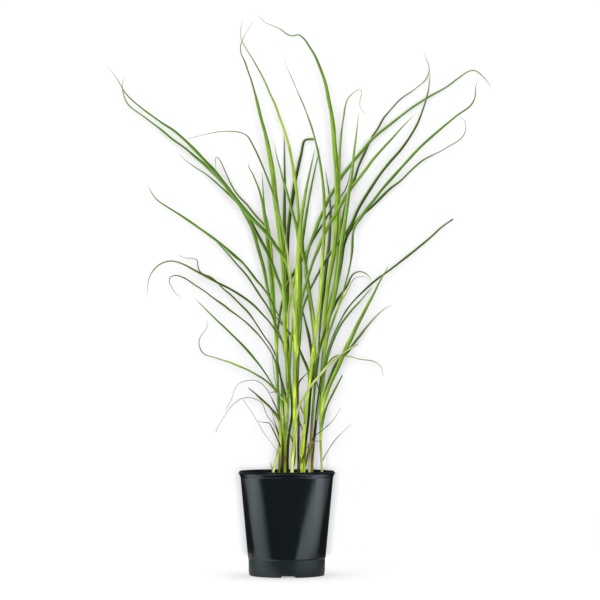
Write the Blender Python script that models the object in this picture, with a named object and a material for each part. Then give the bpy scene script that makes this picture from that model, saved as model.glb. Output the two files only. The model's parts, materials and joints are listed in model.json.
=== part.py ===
"""Potted ornamental grass clump: nursery pot, soil, twelve shoots and their blades.

Metres, +Z up.  The origin is the centre of the pot's flat foot, and the front is -Y.

Routes of shoots and blades are drawn as the clump is seen from the front: each
point is (across, up) in centimetres on the upright plane through the pot's axis,
seen from the eye below.  A depth then slides the point along its line of sight,
so that the front outline stays as drawn while the clump spreads on all sides.
"""

import math

import bmesh
import bpy
import numpy as np
from mathutils import Vector

MM = 0.001
CM = 0.01

# Pot: a deep round nursery pot of about three litres.
RIM_DIAMETER = 170 * MM
POT_HEIGHT = 181 * MM
SHOULDER_RADIUS = 80.9 * MM
SHOULDER_HEIGHT = 171 * MM
BAND_TOP_RADIUS = 67.6 * MM
BAND_HEIGHT = 31 * MM
FOOT_RADIUS = 66.2 * MM
WALL = 1.5 * MM
CENTRE_FOOT_RADIUS = 34 * MM
CHANNEL_HEIGHT = 9 * MM
POT_SIDES = 36
SOIL_SIDES = 20
SOIL_RINGS = 3

# Drainage: notches through the skirt, and holes through the raised channel.
NOTCHES = 4
FIRST_NOTCH_ANGLE = math.radians(-86.5)
NOTCH_FOOT_WIDTH = 26 * MM
NOTCH_TOP_WIDTH = 13 * MM
NOTCH_TOP_SHIFT = -6 * MM
NOTCH_HEIGHT = 7 * MM
DRAIN_RADIUS = 4.5 * MM

# Soil: level below the rim, with a low mound where the clump stands.
SOIL_LEVEL = 168 * MM
MOUND_HEIGHT = 8.5 * MM
MOUND_RADIUS = 62 * MM
MOUND_CENTRE = (0.018, 0.0)
PLANTING_DEPTH = 14 * MM

# Fits and section sizes of the plant.
GAP = 0.3 * MM
SOCKET_GAP = 0.4 * MM
SHOOT_SIDES = 8
BLADE_MIDRIB = 1.1 * MM
SMALL_MIDRIB = 0.9 * MM
BLADE_FOLD = 0.30
CUT_WIDTH_SHARE = 0.55
TIP_WIDTH = 0.95 * MM
TAPER_SHARE = 0.5
TAPER_POWER = 0.62
BASE_WIDTH_SHARE = 0.55
FULL_WIDTH_AT = 0.34
CUT_TAPER_FROM = 0.7
DEPTH_EASE = 1.35
SMALL_DEPTH_EASE = 1.2
SMALL_TAPER_SHARE = 0.5
SMALL_TAPER_POWER = 0.7
BLADE_GIVE = 0.6
TIP_MIDRIB = 0.4 * MM
SHORT_RINGS = 6
SMALL_RINGS = 4
RINGS_PER_METRE = 11
LEAST_STRAY = 0.15 * MM
SHOOT_RINGS = 8
SAMPLES = 60

# Clearances kept between blades as they are eased apart in depth.
CLEAR_ACROSS = 1.2 * MM
CLEAR_AWAY = 0.8 * MM
LEAN_BIAS = 1.0 * MM
EASE_SAMPLES = 4
SETTLE_ROUNDS = 150

# The eye from which the routes are drawn.
EYE = Vector((0.023, -4.0, 0.33))

# Shoots: name, depth at the soil and at the top (cm), radius at the soil and at the
# top (mm), colour, and route from the soil up.
SHOOTS = [
    ("shoot_01", 1.0, 1.8, 2.5, 2.8, "lime",
     [(-2.4, 17.9), (-2.1, 19), (-1.65, 20.6), (-1.25, 22.5), (-1, 24.5), (-0.8, 26.5), (-0.7, 28)]),
    ("shoot_02", 0.3, 0.5, 2.3, 1.9, "green",
     [(-1.35, 17.9), (-1.3, 19), (-1.15, 21), (-1.1, 23), (-1.2, 25.5), (-1.35, 28), (-1.5, 31),
      (-1.6, 34), (-1.7, 37), (-1.75, 39.5)]),
    ("shoot_03", 2.5, 3.4, 2.5, 2.0, "brown",
     [(-0.9, 17.9), (-0.75, 19.5), (-0.65, 21.5), (-0.6, 23.5), (-0.6, 25.5), (-0.65, 28),
      (-0.75, 31), (-0.85, 33.5)]),
    ("shoot_04", -1.8, -2.2, 2.4, 2.8, "lime",
     [(-0.35, 17.9), (-0.3, 19.5), (-0.25, 21.5), (-0.2, 23.5), (-0.1, 25.5), (0.05, 27.5),
      (0.18, 30), (0.15, 33), (0.05, 36), (-0.1, 38.5), (-0.2, 41)]),
    ("shoot_05", 1.1, 1.9, 2.5, 1.9, "dark",
     [(0.2, 17.9), (0.1, 19), (0.15, 21), (0.25, 23), (0.5, 25.2), (0.78, 26.8), (0.95, 28.5),
      (0.8, 31), (0.55, 34), (0.35, 37), (0.2, 40), (0.1, 42.5)]),
    ("shoot_06", -3.2, -3.8, 3.1, 2.6, "lime",
     [(0.9, 17.9), (0.95, 19.5), (1.1, 21.5), (1.25, 23.5), (1.3, 25.5), (1.3, 28), (1.35, 31),
      (1.35, 34), (1.4, 37), (1.4, 40), (1.38, 43)]),
    ("shoot_07", 2.2, 3.2, 2.1, 2.2, "brown",
     [(2.05, 17.9), (2.05, 20), (2, 22), (2.05, 24), (2.08, 26), (1.98, 28), (1.9, 31), (1.88, 34),
      (1.92, 37), (1.95, 39.5)]),
    ("shoot_08", -2.4, -2.8, 2.3, 2.7, "lime",
     [(2.6, 17.9), (2.65, 20), (2.75, 21.5), (2.88, 23), (3, 25), (3.15, 26.5), (3.33, 28),
      (3.5, 29.5), (3.66, 31), (3.84, 32.5), (4, 34), (4.15, 35.5), (4.32, 37), (4.5, 38.5),
      (4.7, 40), (4.85, 41.5)]),
    ("shoot_09", 1.7, 2.4, 2.2, 2.1, "dark",
     [(3.05, 17.9), (3.1, 20), (3.2, 22), (3.4, 24), (3.6, 25.5), (3.75, 27), (3.9, 28.5),
      (4, 30), (4.1, 31.5), (4.28, 33), (4.45, 34.2), (4.65, 35.4), (4.85, 36.5), (5.05, 37.5)]),
    ("shoot_10", -0.5, -0.6, 2.6, 2.0, "brown",
     [(4, 17.9), (4, 19), (4.1, 21), (4.2, 23), (4.3, 25), (4.45, 27), (4.6, 29), (4.75, 31),
      (4.9, 33), (5.1, 34.8), (5.3, 36.5), (5.45, 38)]),
    ("shoot_11", 2.9, 4.2, 2.4, 2.2, "green",
     [(4.4, 17.9), (4.4, 19.5), (4.5, 21), (4.7, 23), (4.9, 25), (5.1, 27), (5.3, 29),
      (5.5, 30.7), (5.75, 32.5), (6, 34.5), (6.2, 36.5), (6.38, 38.5), (6.5, 40)]),
    ("shoot_12", -0.9, -1.2, 1.9, 2.3, "lime",
     [(6.15, 17.9), (6.05, 20), (5.95, 22), (5.9, 24), (5.9, 26), (5.95, 28), (6, 30), (6.1, 32),
      (6.17, 34), (6.27, 36), (6.45, 38), (6.7, 39.6)]),
]

# Blades: name, shoot, depth of the tip (cm), width (mm), turn of the blade at its
# base and its tip (degrees: 0 shows its upper face to the front, 90 and -90 show
# its edge), colour, end, and route from the tip down to the shoot.
BLADES = [
    ("leaf_01", 6, -11, 8.8, 24, 52, "green", "fine",
     [(-31.8, 89.3), (-30, 87), (-28, 83.8), (-25, 81.2), (-22, 79), (-20, 77.7), (-18, 76),
      (-16, 74), (-14, 71.8), (-12, 69.6), (-10, 66.9), (-8, 64.3), (-6, 62), (-4.1, 60.1),
      (-2.8, 58.5), (-1.9, 57.2), (-1.2, 56.3), (-0.5, 55.1), (0, 54), (0.3, 52.8), (0.6, 51.4),
      (0.8, 50), (1, 48.5), (1.2, 46.8), (1.33, 45.2), (1.4, 43.6), (1.42, 42)]),
    ("leaf_02", 2, 8, 7.9, 28, 45, "green", "fine",
     [(-28.2, 88), (-28.9, 85.5), (-28, 82.4), (-25, 80), (-22, 77.7), (-20, 76), (-18, 74.6),
      (-16, 72.9), (-14, 71.2), (-12, 69.2), (-10.2, 67.2), (-8.5, 64.8), (-7.2, 62.6),
      (-6.3, 60.9), (-5.7, 59.2), (-5.2, 57.4), (-4.8, 56), (-4.4, 54.6), (-4.1, 53.4),
      (-3.8, 51.8), (-3.45, 50), (-3.1, 48.6), (-2.8, 47), (-2.45, 45.2), (-2.1, 43.4),
      (-1.9, 41.6), (-1.8, 39.8), (-1.77, 38.4)]),
    ("leaf_03", 4, -2, 7.4, 30, 50, "dark", "fine",
     [(-19.5, 74.2), (-18, 72.6), (-16, 71.1), (-14, 69.8), (-12, 68.1), (-10, 66.2), (-8, 64.2),
      (-6.9, 62.7), (-6, 61), (-5, 59), (-4.4, 57.9), (-3.4, 56), (-2.95, 55), (-2.4, 53.6),
      (-1.9, 52.2), (-1.4, 51), (-1, 49.8), (-0.7, 48.6), (-0.5, 47), (-0.4, 45.2), (-0.33, 43.4),
      (-0.28, 41.6), (-0.22, 40)]),
    ("leaf_04", 6, -13, 6.8, 52, 56, "lime", "fine",
     [(-18, 76.1), (-15, 76.8), (-12, 77.4), (-10, 77.5), (-8.3, 77.3), (-7, 76.7), (-6, 75.1),
      (-5, 73), (-4, 70.6), (-3, 68), (-2.3, 66), (-1.75, 64.3), (-1.3, 62.6), (-1, 61.2),
      (-0.7, 60), (-0.45, 58.7), (-0.2, 57.5), (0, 56.3), (0.12, 55), (0.25, 53.8), (0.42, 52.7),
      (0.6, 51.6), (0.75, 50.4), (0.9, 49.2), (1.05, 48), (1.2, 46.4), (1.3, 44.8), (1.35, 43)]),
    ("leaf_05", 2, 13, 6.0, 55, 35, "olive", "fine",
     [(-12.4, 70.5), (-12.5, 71.8), (-12.4, 73), (-12, 72.8), (-11, 70.8), (-10, 68.6),
      (-9, 66.8), (-8, 65.6), (-7, 64.6), (-6, 63.3), (-5, 62.1), (-4.2, 61.3), (-3.6, 60.3),
      (-3.2, 59.2), (-2.95, 57.8), (-2.75, 56), (-2.65, 54.5), (-2.55, 52.5), (-2.5, 50.5),
      (-2.4, 48.4), (-2.25, 46.4), (-2.05, 44.2), (-1.9, 42.2), (-1.8, 40.4), (-1.75, 38.8)]),
    ("leaf_06", 4, -7, 9.8, -44, 80, "bright", "fine",
     [(-5.1, 97.8), (-6.3, 96.3), (-7.3, 94.6), (-7.9, 93.4), (-8.2, 92.2), (-8, 91), (-7.5, 90),
      (-7, 88.5), (-6.3, 86.5), (-5.6, 84), (-5, 81.5), (-4.5, 79.5), (-3.8, 77), (-3.2, 74),
      (-2.8, 72), (-2.5, 70), (-2.3, 68), (-2.1, 66), (-1.85, 64), (-1.55, 62), (-1.3, 60),
      (-1.05, 58), (-0.82, 56), (-0.65, 54), (-0.55, 52), (-0.5, 50), (-0.42, 48), (-0.4, 46),
      (-0.42, 44), (-0.38, 42), (-0.28, 40.2), (-0.15, 38.6)]),
    ("leaf_07", 5, 11, 6.0, 20, 36, "olive", "fine",
     [(-7.7, 97.8), (-7.9, 96.4), (-8.2, 95), (-7.9, 93.4), (-6, 90.2), (-5, 88.4), (-4, 86.5),
      (-3, 84.2), (-2, 82), (-1.2, 79.6), (-0.5, 77.8), (0.1, 75.8), (0.7, 73.2), (1.2, 70.3),
      (1.5, 68), (1.8, 65.5), (2, 62.5), (2, 60), (1.95, 58), (1.9, 56), (1.75, 54), (1.5, 52.5),
      (1.25, 51), (1, 49.9), (0.75, 48.9), (0.5, 47.5), (0.3, 46), (0.15, 44.4), (0.1, 43),
      (0.15, 41.4)]),
    ("leaf_08", 11, -11, 10.0, -24, 60, "bright", "fine",
     [(-6.3, 98.4), (-5, 97.9), (-4, 96.8), (-2, 95.9), (-1, 95.4), (0, 94.6), (1, 94.3),
      (2, 94.5), (3, 93.8), (4, 92.3), (5, 90.6), (6, 88.1), (6.7, 86), (7.2, 83.5), (7.8, 80.5),
      (8.1, 78), (8.4, 74), (8.6, 72), (8.75, 70), (8.8, 66), (8.7, 63), (8.6, 60), (8.35, 57.3),
      (8.15, 55.5), (7.9, 54), (7.6, 52.5), (7.3, 51), (7.1, 49.5), (6.95, 48), (6.8, 46.5),
      (6.6, 45), (6.5, 43.4), (6.45, 41.8), (6.48, 40.2), (6.42, 38.8)]),
    ("leaf_09", 8, -5, 7.2, -16, -72, "bright", "fine",
     [(-0.7, 91.5), (0, 88.8), (1, 86.6), (2, 84.2), (3, 82), (4, 79.3), (4.5, 77.8), (5.1, 75.5),
      (5.6, 73.4), (6, 71.2), (6.3, 68.8), (6.5, 66), (6.6, 64), (6.6, 61), (6.45, 57.8),
      (6.3, 56), (6.2, 54), (6.05, 52), (5.95, 50), (5.8, 48), (5.6, 46.5), (5.38, 45),
      (5.18, 43.6), (5, 42.2), (4.88, 41)]),
    ("leaf_10", 5, 22, 7.5, 15, 15, "dark", "fine",
     [(-0.5, 77.2), (-0.45, 73), (-0.4, 69), (-0.45, 65), (-0.5, 62), (-0.45, 59.5),
      (-0.35, 57.5), (-0.2, 55.5), (-0.05, 53), (0.08, 50.5), (0.12, 48), (0.12, 45.6),
      (0.1, 43.6), (0.12, 41.8)]),
    ("leaf_11", 7, -19, 6.5, -30, 20, "green", "fine",
     [(-2.2, 75.3), (-1.8, 73.2), (-1.2, 71), (-0.7, 69), (0, 66.8), (0.6, 64.6), (1.3, 62.2),
      (1.6, 61), (1.8, 60), (1.98, 58.8), (2.15, 57), (2.3, 55), (2.4, 53), (2.4, 51),
      (2.35, 49), (2.25, 47), (2.15, 45), (2.05, 43), (2, 41), (1.97, 39)]),
    ("leaf_12", 5, 16, 7.4, 24, -16, "dark", "cut",
     [(4.9, 76.1), (3.7, 76.1), (3.1, 75.9), (2.8, 75), (2.5, 73.5), (2.2, 72.2), (1.75, 70.2),
      (1.3, 68), (1, 66), (0.7, 64), (0.45, 62.3), (0.28, 60.8), (0.15, 59.2), (0.06, 57.4),
      (0, 55.4), (0, 53), (0.03, 50.6), (0.08, 48), (0.1, 45.4), (0.1, 43), (0.13, 41.2)]),
    ("leaf_13", 6, -10, 9.6, -44, -32, "bright", "fine",
     [(4.95, 74.6), (4.6, 73), (4.2, 71.2), (3.8, 69.4), (3.4, 67.4), (3.05, 65.2), (2.7, 63),
      (2.45, 61), (2.27, 59), (2.15, 57), (2.05, 55), (1.95, 53), (1.87, 51), (1.8, 49),
      (1.77, 47), (1.8, 45), (1.87, 43), (1.92, 41), (1.95, 39.2)]),
    ("leaf_14", 8, 15, 7.5, -40, -36, "green", "fine",
     [(5.9, 75), (5.3, 72.5), (4.8, 70.2), (4.4, 68.2), (4, 66.2), (3.65, 64.2), (3.3, 62),
      (3.05, 60.4), (2.87, 59), (2.8, 57.8), (2.85, 56.6), (3.05, 55.4), (3.3, 54.2), (3.52, 53),
      (3.72, 51.8), (3.92, 50.4), (4.12, 49), (4.35, 47.5), (4.6, 46), (4.78, 44.6), (4.87, 43.2),
      (4.88, 41.8)]),
    ("leaf_15", 10, 21, 7.0, -44, 16, "dark", "fine",
     [(6.7, 71), (6.9, 69.6), (7.3, 67.2), (7.5, 65.3), (7.65, 63.5), (7.6, 62), (7.52, 60),
      (7.4, 58), (7.25, 56.5), (7.05, 55), (6.85, 53.5), (6.7, 52), (6.55, 50.5), (6.4, 49),
      (6.22, 47.5), (6.06, 46), (5.92, 44.6), (5.8, 43.2), (5.7, 41.8), (5.62, 40.2),
      (5.52, 38.6)]),
    ("leaf_16", 11, 7.5, 8.6, -20, -70, "yellow", "fine",
     [(15, 80.3), (13.6, 80.8), (12.9, 81.6), (12.8, 83), (13.1, 84.3), (12.8, 84.9), (12, 84.5),
      (10.9, 83.5), (10.3, 82), (10, 80), (9.7, 78), (9.4, 75), (9.25, 72), (9.2, 68),
      (9.2, 64.5), (9.27, 61), (9.25, 59.3), (9.2, 58), (9.08, 56.6), (8.93, 55.2), (8.78, 53.8),
      (8.63, 52.4), (8.48, 51), (8.28, 49.5), (8.05, 48), (7.78, 46.7), (7.48, 45.5),
      (7.18, 44.4), (6.93, 43.2), (6.77, 42), (6.68, 40.9)]),
    ("leaf_17", 12, -17, 7.9, -40, -20, "lime", "fine",
     [(12.7, 81.3), (12.4, 79), (12.2, 77), (11.8, 74), (11.6, 72), (11.45, 70.2), (11.3, 69),
      (11, 67.6), (10.8, 66), (10.6, 64.5), (10.4, 63), (10.15, 61.2), (9.9, 59.8), (9.7, 58.5),
      (9.55, 57), (9.42, 55.6), (9.27, 54.2), (9.1, 53), (8.9, 51.5), (8.7, 50), (8.45, 48.7),
      (8.17, 47.4), (7.87, 46.2), (7.57, 45), (7.3, 43.8), (7.08, 42.4), (6.92, 41), (6.8, 39.6)]),
    ("leaf_18", 2, 10, 6.9, -20, -48, "dark", "fine",
     [(11.4, 72), (11.2, 71), (10.9, 69.2), (10.4, 67.6), (9.6, 66.2), (8.2, 64.4), (7.6, 63.5),
      (6.9, 62.3), (6.3, 61.2), (5.5, 60), (5, 59.2), (4.5, 58.3), (4, 57.2), (3.4, 56.2),
      (2.85, 55.3), (2.2, 54.2), (1.45, 53), (0.95, 52.1), (0.45, 51.2), (0.05, 50.2),
      (-0.25, 49.2), (-0.55, 48.2), (-0.85, 47.2), (-1.07, 46.2), (-1.27, 45.1), (-1.45, 43.8),
      (-1.58, 42.4), (-1.68, 40.8), (-1.72, 39.2)]),
    ("leaf_19", 11, 17, 8.2, -48, -56, "dark", "fine",
     [(23.8, 92), (24.3, 90.6), (24.8, 89.5), (25, 88.3), (24.6, 87), (24, 86.2), (22, 84.6),
      (20, 83.2), (18, 81), (17, 79.8), (16, 78), (15, 76.5), (14.3, 75), (13.3, 73), (12.5, 71),
      (12, 69.3), (11.4, 67.8), (10.8, 66.2), (10.3, 64.4), (9.9, 62.4), (9.6, 60.2), (9.35, 58),
      (9.1, 56), (8.8, 54), (8.5, 52), (8.2, 50.2), (7.85, 48.5), (7.45, 46.8), (7.1, 45.2),
      (6.85, 43.6), (6.7, 42), (6.58, 40.4)]),
    ("leaf_20", 7, 9, 8.4, -60, -24, "dark", "fine",
     [(24.9, 89), (25.1, 87.5), (25, 86), (24.8, 84.5), (24.2, 82.4), (23.3, 79.8), (22, 77.2),
      (20, 74.3), (18, 72), (16, 69.4), (14, 66.4), (13, 64.7), (12.1, 62.9), (11.5, 61.5),
      (10.9, 60.4), (10.1, 59.3), (9.3, 58.2), (8.6, 57.2), (7.9, 56.3), (7.2, 55.3), (6.5, 54.1),
      (5.85, 53), (5.3, 52), (4.8, 51.1), (4.3, 50.1), (3.85, 49.1), (3.4, 48), (3.02, 47),
      (2.77, 46), (2.65, 44.8), (2.55, 43.2), (2.43, 41.6), (2.27, 40.2), (2.12, 38.8),
      (2.02, 37.2)]),
    ("leaf_21", 9, 15, 8.0, -44, -30, "green", "fine",
     [(35.7, 84), (35.8, 85.2), (35.2, 86.3), (34.3, 87.3), (33, 88.2), (32, 88.1), (30, 86.8),
      (28, 85.3), (25, 83.6), (22, 81.7), (20, 80.2), (18, 78.6), (16, 77), (14.5, 75.6),
      (13.2, 74), (12, 72.6), (11, 71.3), (9.8, 69.8), (9, 68.4), (8.3, 67.2), (7.5, 65.9),
      (6.9, 64.5), (6.2, 63), (5.6, 61.6), (5.1, 60.2), (4.6, 58.9), (4.15, 57.7), (3.8, 56.6),
      (3.5, 55.4), (3.35, 54.2), (3.33, 52.8), (3.42, 51.4), (3.6, 50), (3.82, 48.6), (4.05, 47),
      (4.28, 45.4), (4.5, 43.8), (4.65, 42.2), (4.76, 40.8),
      (4.88, 39.4), (4.97, 38), (4.98, 36.8)]),
    ("leaf_22", 12, -8, 9.0, -80, -25, "green", "fine",
     [(34, 87), (33.4, 86.3), (33.1, 85), (33, 83.5), (32.2, 82), (30, 80.4), (27, 77.9),
      (25, 76.2), (23, 74.3), (21, 72.1), (19, 69.9), (17, 67.6), (15.3, 65.4), (14, 63.8),
      (13, 62.3), (12.1, 60.9), (11.7, 59.6), (11.57, 58.4), (11.55, 57.2), (11.45, 56),
      (11.3, 55), (11.1, 54), (10.9, 53), (10.68, 52), (10.4, 51), (10.12, 50), (9.85, 49),
      (9.55, 48.2), (9.2, 47.3), (8.9, 46.4), (8.6, 45.4), (8.3, 44.4), (7.95, 43.4),
      (7.58, 42.4), (7.22, 41.4), (6.95, 40.4), (6.75, 39.2)]),
    ("leaf_23", 7, -15, 9.2, -68, -20, "bright", "fine",
     [(22.7, 80.8), (21.6, 79.7), (20, 78), (18.5, 76.3), (17, 74.7), (15, 72.4), (14, 71),
      (12, 68.4), (10.6, 66.5), (9.4, 64.4), (8.2, 62.4), (7.3, 60.8), (6.6, 59.4), (6.15, 58.4),
      (5.75, 57.4), (5.4, 56.5), (5, 55.6), (4.7, 54.8), (4.4, 53.9), (4.12, 53), (3.85, 52.1),
      (3.58, 51.3), (3.3, 50.5), (3.08, 49.7), (2.88, 48.8), (2.7, 47.7), (2.53, 46.4),
      (2.36, 45), (2.2, 43.4), (2.05, 41.6), (1.93, 39.8), (1.83, 38)]),
    ("leaf_24", 11, 9, 8.8, -36, -64, "dark", "fine",
     [(30, 80.2), (31, 79.6), (31.4, 78.5), (31.1, 77), (30.3, 76), (28.5, 74.9), (27, 74),
      (24, 72.5), (22, 70.8), (20, 68.8), (18, 67.3), (16, 65.3), (14.7, 64), (13.5, 63),
      (12.4, 61.8), (11.5, 60.6), (10.8, 59.6), (10.35, 58.6), (10.05, 57.6), (9.85, 56.4),
      (9.65, 55), (9.42, 53.6), (9.17, 52), (8.9, 50.6), (8.6, 49.2), (8.22, 47.8), (7.8, 46.4),
      (7.42, 45), (7.1, 43.6), (6.85, 42.2), (6.67, 40.8), (6.52, 39.2)]),
    ("leaf_25", 2, -2, 7.4, 12, 16, "green", "fine",
     [(-6.5, 72.4), (-6.8, 71.8), (-6.6, 71.1), (-6, 70), (-5.5, 68.8), (-5, 67.6), (-4.6, 66.3),
      (-4.3, 65), (-4.05, 63.3), (-3.85, 62), (-3.65, 60.8), (-3.5, 59.5), (-3.4, 58.2),
      (-3.28, 57), (-3.15, 55.8), (-3.03, 54.5), (-2.93, 53.2), (-2.8, 52), (-2.67, 50.7),
      (-2.57, 49.4), (-2.48, 48), (-2.37, 46.4), (-2.22, 44.8), (-2.05, 43.2), (-1.92, 41.6),
      (-1.83, 40), (-1.77, 38.4)]),
    ("leaf_26", 2, 5, 5.9, 24, 12, "lime", "fine",
     [(-4.4, 70.5), (-4.3, 69), (-4.2, 67), (-4.05, 65), (-3.85, 63.2), (-3.55, 62),
      (-3.27, 60.8), (-3.05, 59.4), (-2.9, 58), (-2.78, 56.6), (-2.65, 55), (-2.53, 53.2),
      (-2.43, 51.2), (-2.33, 49.2), (-2.23, 47.2), (-2.12, 45.4), (-2, 43.6), (-1.88, 41.6),
      (-1.8, 40)]),
    ("leaf_27", 4, -5, 7.8, 78, 25, "green", "fine",
     [(-24.6, 68.5), (-24.2, 67.7), (-23.5, 66.4), (-22.8, 65.5), (-22, 64.9), (-20, 63.6),
      (-18, 62.3), (-16, 60.9), (-14, 59.5), (-12, 58), (-10, 56.3), (-9, 55.4), (-8, 54.6),
      (-7, 53.5), (-6, 52.2), (-5.2, 51.1), (-4.4, 50.2), (-3.65, 49.2), (-3.1, 48.3),
      (-2.6, 47.3), (-2.12, 46.3), (-1.7, 45.5), (-1.25, 44.7), (-0.82, 43.8), (-0.5, 42.8),
      (-0.32, 41.6), (-0.22, 40.2), (-0.15, 38.8)]),
    ("leaf_28", 4, 4, 6.5, 72, 36, "green", "fine",
     [(-14.2, 60), (-13, 58.8), (-11.5, 57.2), (-10, 55.6), (-9, 54.4), (-8, 53.3), (-7, 52.1),
      (-6.3, 51.1), (-5.75, 50.2), (-5.15, 49.3), (-4.6, 48.4), (-4.05, 47.6), (-3.5, 46.8),
      (-3.05, 46), (-2.7, 45.3), (-2.4, 44.6), (-2.1, 43.9), (-1.8, 43.2), (-1.5, 42.4),
      (-1.2, 41.6), (-0.9, 40.8), (-0.6, 39.8), (-0.35, 38.6), (-0.18, 37.4)]),
    ("leaf_29", 4, -9, 7.2, 62, 45, "dark", "fine",
     [(-24.8, 48.2), (-24.4, 49.3), (-24.2, 51.3), (-23.6, 52.7), (-22.4, 54), (-20.5, 54.7),
      (-18.5, 54.3), (-16, 53), (-14, 51.9), (-12, 50.8), (-10, 49.8), (-8, 48.6), (-7, 47.9),
      (-6, 47.1), (-5, 46.1), (-4, 45), (-3, 43.9), (-2.2, 42.8), (-1.5, 41.7), (-0.85, 40.7),
      (-0.35, 39.8), (0, 38.9), (0.13, 38), (0.13, 37), (0.1, 36)]),
    ("leaf_30", 3, 8, 6.2, 76, 40, "olive", "dead",
     [(-19.3, 55.9), (-17.5, 55.2), (-16.5, 55.2), (-15.7, 54.8), (-15.65, 54), (-15.3, 52.9),
      (-14.5, 52.3), (-13.4, 51.9), (-12.3, 51), (-11, 49.7), (-10, 48.9), (-9, 47.9), (-8, 46.9),
      (-7, 45.9), (-6, 44.6), (-5.2, 43.4), (-4.5, 42.3), (-3.9, 41.4), (-3.3, 40.6), (-2.8, 39.8),
      (-2.4, 39), (-2.05, 38.2), (-1.72, 37.4), (-1.45, 36.4), (-1.25, 35.4), (-1.1, 34.4),
      (-0.97, 33.4), (-0.88, 32.2)]),
    ("leaf_31", 2, -6, 6.2, 68, 45, "olive", "dead",
     [(-18.7, 48), (-18.9, 48.7), (-19.4, 49), (-20, 50), (-20.5, 51), (-20.4, 51.8),
      (-19.5, 52.15), (-18, 51.7), (-16, 50.4), (-15, 49.8), (-14, 49.1), (-13, 48.3), (-12, 47.6),
      (-11, 46.9), (-10, 46.1), (-9, 45.4), (-8, 44.6), (-7, 43.8), (-6, 42.8), (-5, 41.8),
      (-4.3, 40.9), (-3.6, 40), (-3, 39.1), (-2.5, 38.2), (-2.1, 37.3), (-1.85, 36.4),
      (-1.73, 35.2), (-1.67, 34)]),
    ("leaf_32", 4, -7, 7.0, 76, 35, "green", "fine",
     [(-16.2, 48.3), (-15, 47.1), (-14, 46.1), (-13, 45.1), (-12, 44.1), (-11, 43.2), (-10, 42.2),
      (-9, 41.2), (-8, 40.2), (-7, 39.1), (-6, 37.9), (-5, 36.7), (-4.2, 35.6), (-3.5, 34.6),
      (-2.9, 33.6), (-2.3, 32.7), (-1.8, 32), (-1.2, 31.3), (-0.6, 30.7), (-0.15, 30), (0.03, 29),
      (0.06, 28)]),
    ("leaf_33", 1, 4, 5.7, 45, 70, "green", "dead",
     [(-14.05, 44.4), (-14, 43.1), (-14.4, 42.5), (-14.95, 41.8), (-15.35, 41), (-15.4, 40.2),
      (-15.15, 39.3), (-14.6, 38.5), (-13.8, 38.1), (-13, 37.9), (-12, 37.6), (-11, 37.25),
      (-10, 36.95), (-9, 36.5), (-8, 36.1), (-7, 35.7), (-6, 35.2), (-5, 34.6), (-4, 34),
      (-3.15, 33.3), (-2.45, 32.6), (-1.9, 31.9), (-1.45, 31.1), (-1.1, 30.1), (-0.88, 28.9),
      (-0.78, 27.6)]),
    ("leaf_34", 1, -4, 6.2, 40, 60, "green", "cut",
     [(-6.7, 32.5), (-6.2, 32.1), (-5.5, 31.5), (-4.8, 30.8), (-4, 30.1), (-3.2, 29.4),
      (-2.5, 28.6), (-1.9, 27.9), (-1.45, 27.1), (-1.15, 26.2), (-1.02, 25.2)]),
    ("leaf_35", 12, 6, 5.8, -78, -25, "dark", "cut",
     [(29.1, 62.1), (27, 60.6), (25.3, 59), (23.3, 57.3), (21.3, 55.7), (19.7, 54.4), (18, 53.1),
      (17, 52.4), (16, 51.7), (15, 50.9), (14, 50), (13, 49), (12, 48), (11, 46.8), (10.5, 46.1),
      (10, 45.3), (9.4, 44.2), (8.9, 43.3), (8.5, 42.5), (8.15, 41.7), (7.8, 40.8), (7.47, 39.9),
      (7.18, 38.9), (6.93, 37.8), (6.72, 36.6), (6.55, 35.2)]),
    ("leaf_36", 9, -4, 7.6, -44, -40, "dark", "fine",
     [(14.9, 51.2), (14.6, 51.7), (14.1, 52.3), (13.6, 52.65), (13, 52.85), (12.3, 52.8),
      (11.7, 52.5), (11.2, 51.9), (10.85, 51.1), (10.5, 50.3), (10, 49.6), (9.5, 48.9), (9, 48.2),
      (8.6, 47.5), (8.22, 46.7), (7.9, 45.9), (7.6, 45.1), (7.3, 44.3), (7, 43.5), (6.75, 42.7),
      (6.5, 41.9), (6.25, 41.1), (6, 40.3), (5.75, 39.5), (5.5, 38.6), (5.28, 37.6), (5.08, 36.6)]),
    ("leaf_37", 12, -10, 5.7, -35, -65, "yellow", "fine",
     [(14.6, 51.2), (14.2, 51.7), (13.6, 52), (13, 52), (12.4, 51.9), (11.9, 51.7), (11.5, 51.3),
      (11.2, 50.8), (10.95, 50.2), (10.62, 49.6), (10.3, 49), (9.92, 48.4), (9.52, 47.7),
      (9.15, 46.9), (8.82, 46.1), (8.5, 45.3), (8.12, 44.3), (7.75, 43.3), (7.42, 42.3),
      (7.12, 41.2), (6.88, 40), (6.68, 38.6), (6.5, 37.2)]),
    ("leaf_38", 12, -12, 9.6, -40, -40, "bright", "fine",
     [(17.8, 54.2), (17.5, 53.4), (17.15, 52.7), (16.8, 52.1), (16.45, 51.5), (16.1, 50.8),
      (15.75, 50.1), (15.3, 49.2), (14.87, 48.3), (14.4, 47.5), (14, 46.7), (13.55, 45.8),
      (13, 44.8), (12.5, 43.8), (12.1, 43), (11.75, 42.2), (11.38, 41.4), (11, 40.7),
      (10.65, 40), (10.3, 39.2), (10, 38.5), (9.7, 37.8), (9.4, 37), (9.05, 36.2), (8.7, 35.4),
      (8.3, 34.6), (7.9, 33.7), (7.5, 32.8), (7.05, 31.8), (6.65, 30.8), (6.35, 29.7),
      (6.15, 28.5)]),
    ("leaf_39", 12, 11, 6.8, -60, -36, "green", "fine",
     [(15.2, 50.4), (14.6, 49.75), (14, 49.1), (13.5, 48.5), (13, 47.9), (12.5, 47.35),
      (12, 46.8), (11.4, 46.15), (10.95, 45.6), (10.5, 45), (10, 44.35), (9.6, 43.8), (9.2, 43.1),
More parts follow.
